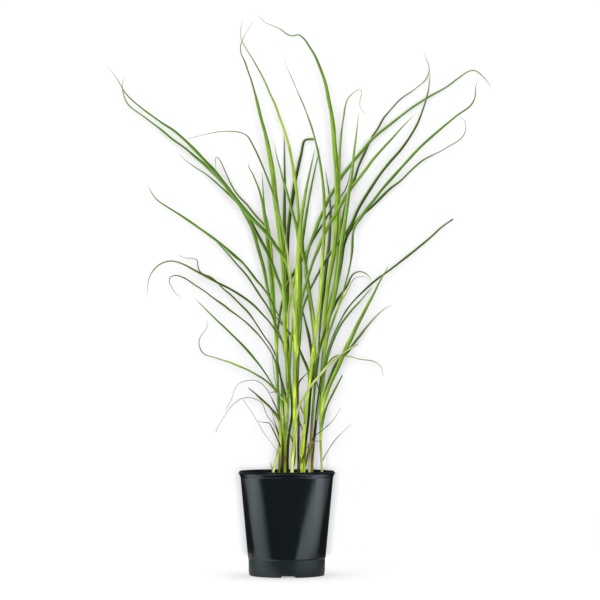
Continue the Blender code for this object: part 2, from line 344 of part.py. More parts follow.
      (8.8, 42.3), (8.4, 41.4), (8, 40.4), (7.6, 39.3), (7.25, 38.1), (6.95, 36.9), (6.7, 35.6),
      (6.5, 34.2)]),
    ("leaf_40", 12, 14, 6.0, 4, -40, "dark", "fine",
     [(18.4, 47), (17.7, 46.7), (17, 46.3), (16.4, 45.8), (15.7, 45.15), (15, 44.4), (14.4, 43.7),
      (13.8, 43), (13.25, 42.3), (12.75, 41.6), (12.25, 41), (11.8, 40.4), (11.4, 39.85),
      (10.9, 39.2), (10.3, 38.55), (9.7, 38), (9.15, 37.5), (8.75, 37), (8.4, 36.4), (8.1, 35.8),
      (7.8, 35.1), (7.5, 34.3), (7.2, 33.5), (6.9, 32.7), (6.62, 31.8), (6.38, 30.8),
      (6.2, 29.8)]),
    ("leaf_41", 6, -19, 5.2, -25, -45, "pale", "cut",
     [(12.5, 40.2), (12, 39.95), (11.4, 39.6), (10.85, 39.25), (10.3, 38.9), (9.7, 38.5),
      (9.15, 38.1), (8.6, 37.75), (8.1, 37.3), (7.5, 36.75), (7, 36.2), (6.5, 35.6), (6, 35),
      (5.5, 34.4), (5, 33.85), (4.5, 33.25), (4.1, 32.7), (3.7, 32.1), (3.3, 31.45), (2.85, 30.7),
      (2.45, 30), (2.12, 29.2), (1.88, 28.3), (1.7, 27.2), (1.6, 26)]),
    ("leaf_42", 11, 3, 5.2, -60, -72, "olive", "dead",
     [(16.85, 34.6), (16.7, 35.3), (16.6, 35.9), (16.35, 36.35), (15.95, 36.7), (15.5, 37),
      (15, 37.2), (14.3, 37.35), (13.5, 37.4), (12.9, 37.5), (12.2, 37.65), (11.5, 37.85),
      (10.8, 38), (10.1, 38.15), (9.4, 38.2), (8.7, 38.1), (8.2, 37.9), (7.8, 37.55),
      (7.4, 37.05), (7.05, 36.5), (6.75, 35.9), (6.45, 35.1), (6.2, 34.1), (6, 33)]),
    ("leaf_43", 12, -5, 6.8, -58, -56, "dark", "cut",
     [(9.7, 34.75), (9.2, 33.8), (8.8, 33), (8.4, 32.2), (8, 31.4), (7.6, 30.6), (7.22, 29.8),
      (6.87, 29), (6.55, 28.2), (6.3, 27.2), (6.15, 26), (6.05, 25)]),
    ("leaf_44", 8, 1.5, 6.2, 24, 56, "dark", "cut",
     [(-1.95, 44.95), (-1, 43.75), (-0.4, 43.1), (0.1, 42.5), (0.6, 41.75), (1.3, 40.65),
      (2, 39.4), (2.4, 38.6), (2.8, 37.65), (3.2, 36.75), (3.6, 35.8), (3.82, 34.8),
      (3.86, 33.8), (3.8, 32.8)]),
    ("leaf_45", 9, 9, 6.2, 28, 28, "dark", "fine",
     [(2.2, 48.4), (2.45, 47.2), (2.75, 46), (3.05, 44.8), (3.35, 43.5), (3.65, 42.2), (3.9, 41),
      (4.1, 39.7), (4.27, 38.4), (4.4, 37.2), (4.48, 36), (4.5, 34.8)]),
]

# Blades that leave the far side of their shoot although they lean to the front.
FAR_SIDE = {"leaf_01": 1.0, "leaf_11": 1.0, "leaf_23": 1.0}

# Small withered or broken leaves that are one growth with their shoot: shoot,
# depth of the tip (cm), width (mm), turn, and route from the tip into the shoot.
SMALL_LEAVES = [
    (1, 3, 2.2, 60,
     [(-12.4, 24.9), (-11.6, 26.5), (-11, 27.4), (-10, 29), (-9, 30), (-7.8, 30.7), (-6.5, 30.85),
      (-5.3, 30.5), (-4.4, 29.9), (-3.9, 28.8), (-3.4, 27.6), (-2.6, 26.6), (-1.9, 25.4),
      (-1.4, 24.1), (-1.13, 23.2)]),
    (1, 7, 2.2, 60,
     [(-10.7, 28.9), (-9.9, 30), (-9.5, 31.1), (-9, 32.5), (-8.2, 33.4), (-7, 33.8), (-5.6, 33.85),
      (-4.5, 33.3), (-3.6, 32.4), (-2.9, 31.2), (-2.3, 29.8), (-1.6, 28.4), (-1.1, 27),
      (-0.85, 25.9)]),
    (1, -3, 1.6, 40,
     [(-7.8, 30.8), (-6.8, 29.3), (-5.9, 27.9), (-5, 26.4), (-4.2, 25), (-3.3, 23.8), (-2.4, 22.6),
      (-1.75, 21.6), (-1.5, 20.9)]),
    (1, -0.4, 3.2, 0,
     [(-2.85, 19.6), (-2.72, 19), (-2.55, 18.4), (-2.38, 17.95)]),
    (2, -7, 3, 30,
     [(-5, 26.8), (-4.3, 26.55), (-3.6, 26.5), (-3.1, 26.4), (-2.6, 25.6), (-2.1, 24.6),
      (-1.6, 23.5), (-1.25, 22.6), (-1.12, 21.8)]),
    (2, 2, 2.6, 30,
     [(-2.6, 28.4), (-2.4, 27.6), (-2.2, 26.8), (-1.9, 25.9), (-1.55, 24.9), (-1.25, 23.8),
      (-1.12, 22.9)]),
    (2, -1.5, 3, 40,
     [(-3.1, 31.7), (-2.55, 30.6), (-2.05, 29.5), (-1.6, 28.3), (-1.3, 27.1), (-1.18, 26)]),
    (2, -4, 2.2, 40,
     [(-2.6, 38.6), (-2.45, 37), (-2.25, 35.2), (-2, 33.4), (-1.75, 31.8), (-1.55, 30.4)]),
    (2, 0.8, 2.4, 20,
     [(-3.3, 31.9), (-2.7, 31.75), (-2.2, 31.85), (-1.8, 31.7), (-1.58, 31.2), (-1.48, 30.5)]),
    (4, -2.6, 7.2, 10,
     [(1.05, 45.5), (1, 44), (0.93, 42.7), (0.8, 41.2), (0.63, 39.6), (0.49, 38), (0.4, 36.5),
      (0.32, 35), (0.25, 33.5), (0.2, 32), (0.15, 30.5), (0.08, 29)]),
    (4, 1, 5.2, 30,
     [(-1.85, 37.3), (-1.55, 36.2), (-1.3, 35.2), (-1, 34), (-0.7, 32.8), (-0.4, 31.6),
      (-0.1, 30.5), (0.12, 29.4)]),
    (6, -4.6, 2.8, 20,
     [(-0.2, 25.9), (0.2, 25.1), (0.6, 24.3), (0.95, 23.3), (1.15, 22.2)]),
    (7, 3, 4.2, -25,
     [(3.8, 35.4), (3.2, 34.75), (2.7, 34.25), (2.2, 33.6), (1.98, 32.6), (1.9, 31.6)]),
    (7, 2, 3.6, -30,
     [(3, 24.6), (2.65, 25.4), (2.3, 26.3), (2.05, 27.1), (1.98, 28)]),
    (8, -5, 3, -30,
     [(4.3, 23.4), (3.9, 22.7), (3.5, 22.1), (3.2, 21.3), (2.9, 20.6), (2.7, 20), (2.64, 19.2)]),
    (8, -1.4, 2.8, -20,
     [(1.65, 31.2), (1.97, 30.4), (2.35, 29.5), (2.72, 28.6), (3.02, 27.7), (3.18, 26.8)]),
    (10, -1.6, 3.2, 0,
     [(3.6, 23), (3.8, 22.2), (3.98, 21.3), (4.08, 20.4)]),
    (10, -4, 2.4, -50,
     [(9.4, 29), (8.7, 27.8), (8, 26.8), (7.2, 26), (6.4, 25.3), (5.7, 24.75), (5, 24.2),
      (4.45, 23.5), (4.22, 22.6)]),
    (10, -6, 2.4, -40,
     [(6.1, 23.35), (5.6, 23.3), (5, 23.15), (4.5, 22.7), (4.2, 21.9)]),
    (3, 3.4, 4.2, 0,
     [(-0.1, 22.8), (-0.22, 21.2), (-0.45, 19.8), (-0.78, 18.6)]),
    (4, -3, 3.4, 10,
     [(-0.62, 27), (-0.55, 25.4), (-0.42, 23.8), (-0.3, 22)]),
    (6, -1.5, 3.6, 10,
     [(1.5, 23.6), (1.46, 22), (1.4, 20.6), (1.25, 19.3), (1, 18.4)]),
    (7, 1.2, 3.2, 0,
     [(2.5, 21.6), (2.38, 20.4), (2.22, 19.3), (2.08, 18.4)]),
    (8, -3.6, 3.2, 0,
     [(2.3, 24.2), (2.36, 22.6), (2.45, 21), (2.62, 19.4)]),
    (8, -3.8, 3.2, 10,
     [(3.12, 31.4), (3.05, 30), (3, 28.5), (3.02, 27), (3.1, 25.8)]),
    (9, 3.4, 4, 0,
     [(3.82, 23), (3.7, 21.5), (3.45, 20), (3.12, 18.6)]),
    (10, 1.5, 4.2, 0,
     [(4.85, 24), (4.68, 22.4), (4.45, 20.8), (4.05, 19)]),
    (11, 1.2, 3.8, 0,
     [(5.78, 32), (5.66, 30.4), (5.5, 28.8), (5.3, 27.6), (5.1, 26.4)]),
    (12, 3, 2.2, -50,
     [(11.2, 26.2), (10.2, 25.3), (9.3, 24.4), (8.4, 23.4), (7.6, 22.2), (7, 21.3), (6.5, 20.4),
      (6.2, 19.6), (6.08, 19)]),
    (12, 1, 3.4, 30,
     [(4.9, 35.2), (5, 34.2), (5.3, 33.2), (5.6, 32.2), (5.85, 31.2), (6, 30.2), (6.02, 29.4)]),
]

COLOURS = {
    "lime": (0.42, 0.52, 0.10, 1.0),
    "bright": (0.24, 0.38, 0.05, 1.0),
    "green": (0.13, 0.25, 0.04, 1.0),
    "dark": (0.05, 0.11, 0.02, 1.0),
    "olive": (0.20, 0.24, 0.07, 1.0),
    "yellow": (0.40, 0.42, 0.10, 1.0),
    "pale": (0.45, 0.58, 0.25, 1.0),
    "brown": (0.17, 0.09, 0.06, 1.0),
    "pot": (0.012, 0.013, 0.015, 1.0),
    "soil": (0.07, 0.035, 0.02, 1.0),
}


def clear_scene():
    """Remove every object of the scene."""
    for thing in list(bpy.data.objects):
        bpy.data.objects.remove(thing, do_unlink=True)


def material(name, roughness=0.5):
    """Return the Principled material of one colour."""
    found = bpy.data.materials.get(name)
    if found:
        return found
    made = bpy.data.materials.new(name)
    made.use_nodes = True
    shader = made.node_tree.nodes["Principled BSDF"]
    shader.inputs["Base Color"].default_value = COLOURS[name]
    shader.inputs["Roughness"].default_value = roughness
    return made


def mesh_object(name, points, faces, finish):
    """Make one closed mesh object from points and faces, with its faces pointing out."""
    mesh = bpy.data.meshes.new(name)
    mesh.from_pydata([tuple(point) for point in points], [], faces)
    body = bmesh.new()
    body.from_mesh(mesh)
    bmesh.ops.recalc_face_normals(body, faces=body.faces)
    bmesh.ops.triangulate(body, faces=body.faces)
    body.to_mesh(mesh)
    body.free()
    mesh.materials.append(finish)
    thing = bpy.data.objects.new(name, mesh)
    bpy.context.collection.objects.link(thing)
    return thing


def as_cutter(thing):
    """Hide a tool shape, so that only its cut or its join is seen."""
    thing.hide_render = True
    thing.display_type = "WIRE"
    thing.hide_set(True)


def add_boolean(thing, tool, operation):
    """Cut or join a tool shape with an exact boolean."""
    step = thing.modifiers.new(tool.name, "BOOLEAN")
    step.object = tool
    step.operation = operation
    step.solver = "EXACT"
    as_cutter(tool)


# ---------------------------------------------------------------- pot and soil

def lathe(name, profile, sides, finish):
    """Turn a closed profile of (radius, height) about the Z axis."""
    points = []
    starts = []
    for radius, height in profile:
        starts.append(len(points))
        if radius == 0.0:
            points.append((0.0, 0.0, height))
            continue
        for side in range(sides):
            angle = 2 * math.pi * side / sides
            points.append((radius * math.cos(angle), radius * math.sin(angle), height))
    faces = []
    for ring in range(len(profile) - 1):
        low = starts[ring]
        high = starts[ring + 1]
        for side in range(sides):
            after = (side + 1) % sides
            if profile[ring][0] == 0.0:
                faces.append((low, high + side, high + after))
            elif profile[ring + 1][0] == 0.0:
                faces.append((low + side, low + after, high))
            else:
                faces.append((low + side, low + after, high + after, high + side))
    return mesh_object(name, points, faces, finish)


def wall_radius(height):
    """Outer radius of the pot's plain wall at a height."""
    share = (height - BAND_HEIGHT) / (SHOULDER_HEIGHT - BAND_HEIGHT)
    return BAND_TOP_RADIUS + share * (SHOULDER_RADIUS - BAND_TOP_RADIUS)


def pot_profile():
    """Outer face from the foot's centre to the rim, then the inner face back down."""
    rim = RIM_DIAMETER / 2
    lower_band = BAND_TOP_RADIUS - 0.7 * MM
    skirt_inner = FOOT_RADIUS - WALL
    outer = [
        (0.0, 0.0), (CENTRE_FOOT_RADIUS, 0.0), (CENTRE_FOOT_RADIUS + 5 * MM, CHANNEL_HEIGHT - WALL),
        (skirt_inner - 2 * MM, CHANNEL_HEIGHT - WALL), (skirt_inner, 0.0),
        (FOOT_RADIUS - 1.2 * MM, 0.0), (FOOT_RADIUS, 1.4 * MM), (lower_band, BAND_HEIGHT - 1.5 * MM),
        (BAND_TOP_RADIUS, BAND_HEIGHT), (SHOULDER_RADIUS, SHOULDER_HEIGHT),
        (rim - 2.7 * MM, SHOULDER_HEIGHT + 1 * MM), (rim - 2.2 * MM, POT_HEIGHT - 5.6 * MM),
        (rim, POT_HEIGHT - 5.1 * MM), (rim, POT_HEIGHT - 2.9 * MM),
        (rim - 1.9 * MM, POT_HEIGHT - 2.4 * MM), (rim - 2.1 * MM, POT_HEIGHT - 0.4 * MM),
        (rim - 2.6 * MM, POT_HEIGHT),
    ]
    inner = [
        (rim - 4.0 * MM, POT_HEIGHT), (rim - 4.4 * MM, POT_HEIGHT - 0.6 * MM),
        (SHOULDER_RADIUS - WALL, SHOULDER_HEIGHT - 1 * MM), (BAND_TOP_RADIUS - WALL - 0.7 * MM, BAND_HEIGHT),
        (FOOT_RADIUS - WALL, CHANNEL_HEIGHT + 1 * MM), (FOOT_RADIUS - 3 * WALL, CHANNEL_HEIGHT),
        (CENTRE_FOOT_RADIUS + 4 * MM, CHANNEL_HEIGHT), (CENTRE_FOOT_RADIUS - 1 * MM, WALL), (0.0, WALL),
    ]
    return outer + inner


def notch_cutter(index):
    """A wedge that cuts one drainage notch through the skirt."""
    angle = FIRST_NOTCH_ANGLE + 2 * math.pi * index / NOTCHES
    along = Vector((math.cos(angle), math.sin(angle), 0))
    across = Vector((-math.sin(angle), math.cos(angle), 0))
    foot = NOTCH_FOOT_WIDTH / 2
    top = NOTCH_TOP_WIDTH / 2
    outline = [(-foot, -2 * MM), (foot, -2 * MM), (foot, 0), (top + NOTCH_TOP_SHIFT, NOTCH_HEIGHT),
               (-top + NOTCH_TOP_SHIFT, NOTCH_HEIGHT), (-foot, 0)]
    points = []
    for reach in (FOOT_RADIUS - 6 * MM, FOOT_RADIUS + 6 * MM):
        for place, height in outline:
            points.append(along * reach + across * place + Vector((0, 0, height)))
    count = len(outline)
    faces = [tuple(range(count)), tuple(range(2 * count - 1, count - 1, -1))]
    for corner in range(count):
        after = (corner + 1) % count
        faces.append((corner, after, count + after, count + corner))
    return mesh_object("notch_cutter_%d" % index, points, faces, material("pot"))


def drain_cutter(index):
    """A short cylinder that cuts one drain hole through the raised channel."""
    angle = FIRST_NOTCH_ANGLE + 2 * math.pi * (index + 0.5) / NOTCHES
    reach = (CENTRE_FOOT_RADIUS + FOOT_RADIUS) / 2 + 2 * MM
    bpy.ops.mesh.primitive_cylinder_add(
        vertices=10, radius=DRAIN_RADIUS, depth=12 * MM,
        location=(reach * math.cos(angle), reach * math.sin(angle), CHANNEL_HEIGHT))
    cutter = bpy.context.object
    cutter.name = "drain_cutter_%d" % index
    return cutter


def build_pot():
    """The black nursery pot with its bead rim, lower band, foot, notches and drain holes."""
    pot = lathe("pot", pot_profile(), POT_SIDES, material("pot", 0.35))
    for index in range(NOTCHES):
        add_boolean(pot, notch_cutter(index), "DIFFERENCE")
        add_boolean(pot, drain_cutter(index), "DIFFERENCE")
    return pot


def soil_height(across, away):
    """Height of the soil at a place in plan: level, with a low mound and soft lumps."""
    reach = math.hypot(across - MOUND_CENTRE[0], away - MOUND_CENTRE[1]) / MOUND_RADIUS
    mound = MOUND_HEIGHT * max(0.0, 1 - reach * reach) ** 1.5
    lumps = 0.8 * MM * math.sin(240 * across + 1.0) * math.sin(210 * away + 0.5)
    return SOIL_LEVEL + mound + lumps


def planted(path):
    """A shoot's path with its foot below the soil."""
    flat = np.vstack([path["flat"][0] - [0, PLANTING_DEPTH / CM], path["flat"]])
    depth = np.concatenate([path["depth"][:1], path["depth"]])
    radius = np.concatenate([path["radius"][:1], path["radius"]])
    return {"flat": flat, "depth": depth, "radius": radius}


def build_soil(shoot_paths):
    """The root ball and soil that fill the pot, with a socket for each shoot."""
    rings = SOIL_RINGS
    sides = SOIL_SIDES
    shape = [(CENTRE_FOOT_RADIUS - 1.6 * MM, WALL + GAP), (CENTRE_FOOT_RADIUS + 3 * MM, CHANNEL_HEIGHT + GAP),
             (FOOT_RADIUS - 3 * WALL, CHANNEL_HEIGHT + GAP),
             (BAND_TOP_RADIUS - 2 * WALL - 1 * MM, BAND_HEIGHT)]
    edge = wall_radius(SOIL_LEVEL) - WALL - 0.8 * MM
    points = [(0, 0, WALL + GAP)]
    for radius, height in shape:
        for side in range(sides):
            angle = 2 * math.pi * side / sides
            points.append((radius * math.cos(angle), radius * math.sin(angle), height))
    for ring in range(rings, 0, -1):
        for side in range(sides):
            angle = 2 * math.pi * side / sides
            across = edge * ring / rings * math.cos(angle)
            away = edge * ring / rings * math.sin(angle)
            points.append((across, away, soil_height(across, away)))
    points.append((0, 0, soil_height(0, 0)))
    faces = []
    for side in range(sides):
        after = (side + 1) % sides
        faces.append((0, 1 + side, 1 + after))
        for ring in range(len(shape) + rings - 1):
            low = 1 + ring * sides
            faces.append((low + side, low + after, low + sides + after, low + sides + side))
        last = 1 + (len(shape) + rings - 1) * sides
        faces.append((last + side, last + after, len(points) - 1))
    soil = mesh_object("soil", points, faces, material("soil", 0.9))
    for path in shoot_paths:
        socket = round_loft(path["name"] + "_socket", socket_path(path), SOCKET_GAP, material("soil"))
        add_boolean(soil, socket, "DIFFERENCE")
    return soil


# ---------------------------------------------------------------- routes

def smooth_route(points, count):
    """Points at even steps along a centripetal spline through the given points."""
    given = np.array(points, dtype=float)
    ends = [2 * given[0] - given[1]] + list(given) + [2 * given[-1] - given[-2]]
    fine = []
    for first, start, stop, last in zip(ends, ends[1:], ends[2:], ends[3:]):
        knots = [0.0]
        for before, after in ((first, start), (start, stop), (stop, last)):
            knots.append(knots[-1] + max(float(np.linalg.norm(after - before)), 1e-6) ** 0.5)
        for step in range(12):
            now = knots[1] + (knots[2] - knots[1]) * step / 12
            one = ((knots[1] - now) * first + (now - knots[0]) * start) / (knots[1] - knots[0])
            two = ((knots[2] - now) * start + (now - knots[1]) * stop) / (knots[2] - knots[1])
            three = ((knots[3] - now) * stop + (now - knots[2]) * last) / (knots[3] - knots[2])
            four = ((knots[2] - now) * one + (now - knots[0]) * two) / (knots[2] - knots[0])
            five = ((knots[3] - now) * two + (now - knots[1]) * three) / (knots[3] - knots[1])
            fine.append(((knots[2] - now) * four + (now - knots[1]) * five) / (knots[2] - knots[1]))
    fine.append(given[-1])
    fine = np.array(fine)
    length = np.concatenate([[0.0], np.cumsum(np.linalg.norm(np.diff(fine, axis=0), axis=1))])
    marks = np.linspace(0.0, length[-1], count)
    return np.column_stack([np.interp(marks, length, fine[:, axis]) for axis in range(2)])


def at_depth(flat, depth):
    """Slide drawn points (cm) to their depths (m) along the lines of sight."""
    eye = np.array(EYE)
    drawn = np.column_stack([flat[:, 0] * CM, np.zeros(len(flat)), flat[:, 1] * CM])
    share = (depth - eye[1]) / -eye[1]
    return eye + (drawn - eye) * share[:, None]


def shoot_path(row):
    """The smooth centre line, radii and depths of one shoot."""
    name, low_depth, high_depth, low_radius, high_radius, colour, route = row
    flat = smooth_route(route, SAMPLES)
    share = np.linspace(0, 1, SAMPLES)
    depth = (low_depth + (high_depth - low_depth) * share) * CM
    radius = (low_radius + (high_radius - low_radius) * share) * MM
    return {"name": name, "flat": flat, "depth": depth, "radius": radius, "colour": colour,
            "lean": 0.0, "give": 0.0}


def shoot_depth(path, height):
    """Depth of a shoot's centre line at a drawn height."""
    return float(np.interp(height, path["flat"][:, 1], path["depth"]))


def blade_width(share, width, end):
    """Width along a blade: narrower at the base, widest below the middle, then tapering."""
    base = BASE_WIDTH_SHARE + (1 - BASE_WIDTH_SHARE) * np.minimum(1.0, share / FULL_WIDTH_AT)
    if end == "cut":
        near_tip = np.maximum(0, share - CUT_TAPER_FROM) / (1 - CUT_TAPER_FROM)
        return width * base * (1 - (1 - CUT_WIDTH_SHARE) * near_tip)
    tip = np.minimum(1.0, (1 - share) / TAPER_SHARE) ** TAPER_POWER
    return np.maximum(TIP_WIDTH, width * base * tip)


def blade_path(row, shoots):
    """The smooth centre line, widths, turns and first depths of one blade, base first."""
    name, shoot, tip_depth, width, turn_base, turn_tip, colour, end, route = row
    flat = smooth_route(route[::-1], SAMPLES)
    share = np.linspace(0, 1, SAMPLES)
    start = shoot_depth(shoots[shoot - 1], flat[0, 1])
    depth = start + (tip_depth * CM - start) * share ** DEPTH_EASE
    turn = np.radians(turn_base + (turn_tip - turn_base) * share)
    return {"name": name, "shoot": shoot, "flat": flat, "depth": depth, "turn": turn,
            "width": blade_width(share, width * MM, end), "colour": colour, "end": end,
            "lean": FAR_SIDE.get(name, math.copysign(1.0, tip_depth * CM - start)), "give": BLADE_GIVE}


def half_sizes(path):
    """Half extents of a piece across the drawing and in depth, at each sample."""
    if "radius" in path:
        return path["radius"], path["radius"]
    half = path["width"] / 2
    fold = BLADE_FOLD * half + BLADE_MIDRIB
    across = half * np.abs(np.cos(path["turn"])) + fold * np.abs(np.sin(path["turn"]))
    away = half * np.abs(np.sin(path["turn"])) + fold * np.abs(np.cos(path["turn"]))
    return across, away


def close_pairs(pieces):
    """Samples of different pieces that lie over each other as drawn, for each pair."""
    flat = [piece["flat"] * CM for piece in pieces]
    across = [half_sizes(piece)[0] for piece in pieces]
    pairs = []
    for one in range(len(pieces)):
        for two in range(one + 1, len(pieces)):
            if "radius" in pieces[one] and "radius" in pieces[two]:
                continue
            if pieces[two].get("root") == pieces[one]["name"]:
                continue
            apart = np.linalg.norm(flat[one][:, None] - flat[two][None], axis=2)
            close = apart < across[one][:, None] + across[two][None] + CLEAR_ACROSS
            if not close.any():
                continue
            pairs.append((pieces[one], pieces[two], *np.nonzero(close)))
    return pairs


def eased(amount):
    """Spread a push along a blade, so that the blade stays smooth."""
    kernel = np.hanning(2 * EASE_SAMPLES + 3)[1:-1]
    padded = np.pad(amount, EASE_SAMPLES, mode="edge")
    return np.convolve(padded, kernel / kernel.sum(), mode="valid")


def settle(pieces):
    """Ease blades apart in depth until none touches another piece."""
    pairs = close_pairs(pieces)
    for _ in range(SETTLE_ROUNDS):
        moved = False
        for one, two, at_one, at_two in pairs:
            apart = two["depth"][at_two] - one["depth"][at_one]
            order = apart.mean() + (two["lean"] - one["lean"]) * LEAN_BIAS
            side = 1.0 if order >= 0 else -1.0
            need = half_sizes(one)[1][at_one] + half_sizes(two)[1][at_two] + CLEAR_AWAY
            short = np.maximum(0.0, need - side * apart)
            if short.max() < 0.02 * MM:
                continue
            moved = True
            for piece, at, way in ((one, at_one, -side), (two, at_two, side)):
                amount = np.zeros(SAMPLES)
                np.maximum.at(amount, at, short)
                piece["depth"] = piece["depth"] + way * piece["give"] * eased(amount)
        if not moved:
            break


# ---------------------------------------------------------------- solids along a route

def socket_path(path):
    """The upright route of a shoot's socket, from below its foot to above the soil."""
    foot = path["flat"][0]
    heights = [-PLANTING_DEPTH / CM - 0.04, 0.3]
    return {"flat": np.array([foot + [0, height] for height in heights]),
            "depth": path["depth"][[0, 0]], "radius": path["radius"][[0, 0]]}


def tangents(line):
    """Unit directions along a line of points."""
    along = np.gradient(line, axis=0)
    return along / np.linalg.norm(along, axis=1)[:, None]


def picture_frames(line):
    """Two unit directions square to a line at each point: one across the drawing, one in depth."""
    along = tangents(line)
    across = np.column_stack([along[:, 2], np.zeros(len(line)), -along[:, 0]])
    across /= np.linalg.norm(across, axis=1)[:, None]
    away = np.cross(along, across)
    return across, away


def loft(name, rings, finish):
    """A closed solid through rings that have the same number of points."""
    count = len(rings[0])
    points = [point for ring in rings for point in ring]
    faces = [tuple(range(count)), tuple(range(len(points) - 1, len(points) - 1 - count, -1))]
    for ring in range(len(rings) - 1):
        low = ring * count
        for corner in range(count):
            after = (corner + 1) % count
            faces.append((low + corner, low + after, low + count + after, low + count + corner))
    return mesh_object(name, points, faces, finish)


def chosen_samples(line, count):
    """Numbers of the samples that follow a line best with few rings, added where it strays most."""
    picked = [0, len(line) - 1]
    while len(picked) < min(count, len(line)):
        worst = (-1.0, 0)
        for start, stop in zip(picked, picked[1:]):
            share = np.linspace(0, 1, stop - start + 1)[:, None]
            straight = line[start] + (line[stop] - line[start]) * share
            stray = np.linalg.norm(line[start:stop + 1] - straight, axis=1)
            worst = max(worst, (float(stray.max()), start + int(stray.argmax())))
        if worst[0] < LEAST_STRAY:
            break
        picked = sorted(picked + [worst[1]])
    return picked


def round_loft(name, path, extra_radius, finish):
    """A round tapered solid along a shoot's path."""
    line = at_depth(path["flat"], path["depth"])
    picked = sorted({0, 1} | set(chosen_samples(line, SHOOT_RINGS)))
    across, away = picture_frames(line)
    made = []
    for index in picked:
        ring = []
        for side in range(SHOOT_SIDES):
            angle = 2 * math.pi * (side + 0.5) / SHOOT_SIDES
            reach = path["radius"][index] + extra_radius
            spoke = math.cos(angle) * across[index] + math.sin(angle) * away[index]
            ring.append(line[index] + reach * spoke)
        made.append(ring)
    return loft(name, made, finish)


def blade_loft(name, path, midrib, fewest, finish):
    """A thin blade with sharp edges and a folded midrib along its path."""
    line = at_depth(path["flat"], path["depth"])
    length = np.linalg.norm(np.diff(line, axis=0), axis=1).sum()
    rings = fewest + round(RINGS_PER_METRE * length)
    across, away = picture_frames(line)
    along = tangents(line)
    made = []
    shape = np.column_stack([line, 2 * path["width"]])
    for index in chosen_samples(shape, rings):
        side = math.cos(path["turn"][index]) * across[index] + math.sin(path["turn"][index]) * away[index]
        upper = np.cross(side, along[index])
        half = path["width"][index] / 2
        thick = max(TIP_MIDRIB, midrib * min(1.0, half / (1.5 * MM)))
        fold = BLADE_FOLD * half
        centre = line[index]
        made.append([centre - half * side + fold / 2 * upper,
                     centre - (fold / 2 + thick / 2) * upper,
                     centre + half * side + fold / 2 * upper,
                     centre + (thick / 2 - fold / 2) * upper])
    return loft(name, made, finish)


def small_path(row, shoots):
    """The path of a small leaf, which starts inside its shoot."""
    shoot, tip_depth, width, turn, route = row
    flat = smooth_route(route[::-1], SAMPLES)
    share = np.linspace(0, 1, SAMPLES)
    start = shoot_depth(shoots[shoot - 1], flat[0, 1])
    depth = start + (tip_depth * CM - start) * share ** SMALL_DEPTH_EASE
    taper = np.minimum(1, (1 - share) / SMALL_TAPER_SHARE) ** SMALL_TAPER_POWER
    return {"name": "small_leaf", "root": shoots[shoot - 1]["name"], "shoot": shoot, "flat": flat,
            "depth": depth, "turn": np.full(SAMPLES, math.radians(turn)), "end": "fine",
            "width": np.maximum(TIP_WIDTH, width * MM * taper),
            "lean": math.copysign(0.5, tip_depth * CM - start),
            "give": BLADE_GIVE * np.clip((share - 0.12) / 0.3, 0, 1)}


def build():
    """Model the whole clump."""
    clear_scene()
    shoots = [shoot_path(row) for row in SHOOTS]
    blades = [blade_path(row, shoots) for row in BLADES]
    small = [small_path(row, shoots) for row in SMALL_LEAVES]
    settle(shoots + small + blades)
    build_pot()
    build_soil(shoots)
    for path in shoots:
        round_loft(path["name"], planted(path), 0.0, material(path["colour"]))
    for index, path in enumerate(small):
        leaf = blade_loft("small_leaf_%02d" % (index + 1), path, SMALL_MIDRIB, SMALL_RINGS, material("olive"))
        add_boolean(bpy.data.objects[SHOOTS[path["shoot"] - 1][0]], leaf, "UNION")
    for path in blades:
        blade_loft(path["name"], path, BLADE_MIDRIB, SHORT_RINGS, material(path["colour"]))


build()
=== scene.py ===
"""Looks of the potted ornamental grass clump: pot, soil, shoots, blades and a small studio.

The clump is drawn as it is seen from the front.  A route's points are (across, up)
in centimetres on the upright plane through the pot's axis, seen from the eye, and
a depth slides each point along its line of sight, as in the solids.  Each growth
becomes a spine of samples, and a Geometry Nodes tree lofts its skin.
"""

from __future__ import annotations

import functools
import itertools
import json
import logging
import math
from dataclasses import dataclass, field
from enum import Enum

import bmesh
import bpy
import numpy as np
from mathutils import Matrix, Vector

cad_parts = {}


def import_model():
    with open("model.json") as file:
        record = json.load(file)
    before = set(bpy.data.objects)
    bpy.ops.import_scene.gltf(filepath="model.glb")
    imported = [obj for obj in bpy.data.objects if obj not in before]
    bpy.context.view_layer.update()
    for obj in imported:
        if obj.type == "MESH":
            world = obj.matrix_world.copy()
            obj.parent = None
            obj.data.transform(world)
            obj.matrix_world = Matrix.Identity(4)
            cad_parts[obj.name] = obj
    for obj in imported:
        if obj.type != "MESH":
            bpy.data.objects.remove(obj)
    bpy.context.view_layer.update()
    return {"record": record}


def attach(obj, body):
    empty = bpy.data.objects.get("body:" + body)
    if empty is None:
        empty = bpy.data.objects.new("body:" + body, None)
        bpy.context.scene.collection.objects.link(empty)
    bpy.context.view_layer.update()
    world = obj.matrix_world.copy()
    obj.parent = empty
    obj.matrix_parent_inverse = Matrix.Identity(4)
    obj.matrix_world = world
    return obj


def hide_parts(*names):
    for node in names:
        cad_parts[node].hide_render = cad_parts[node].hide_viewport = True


LOG = logging.getLogger("clump")
MM = 0.001
CM = 0.01
BODY = "root"
EYE = np.array([0.023, -4.0, 0.33])


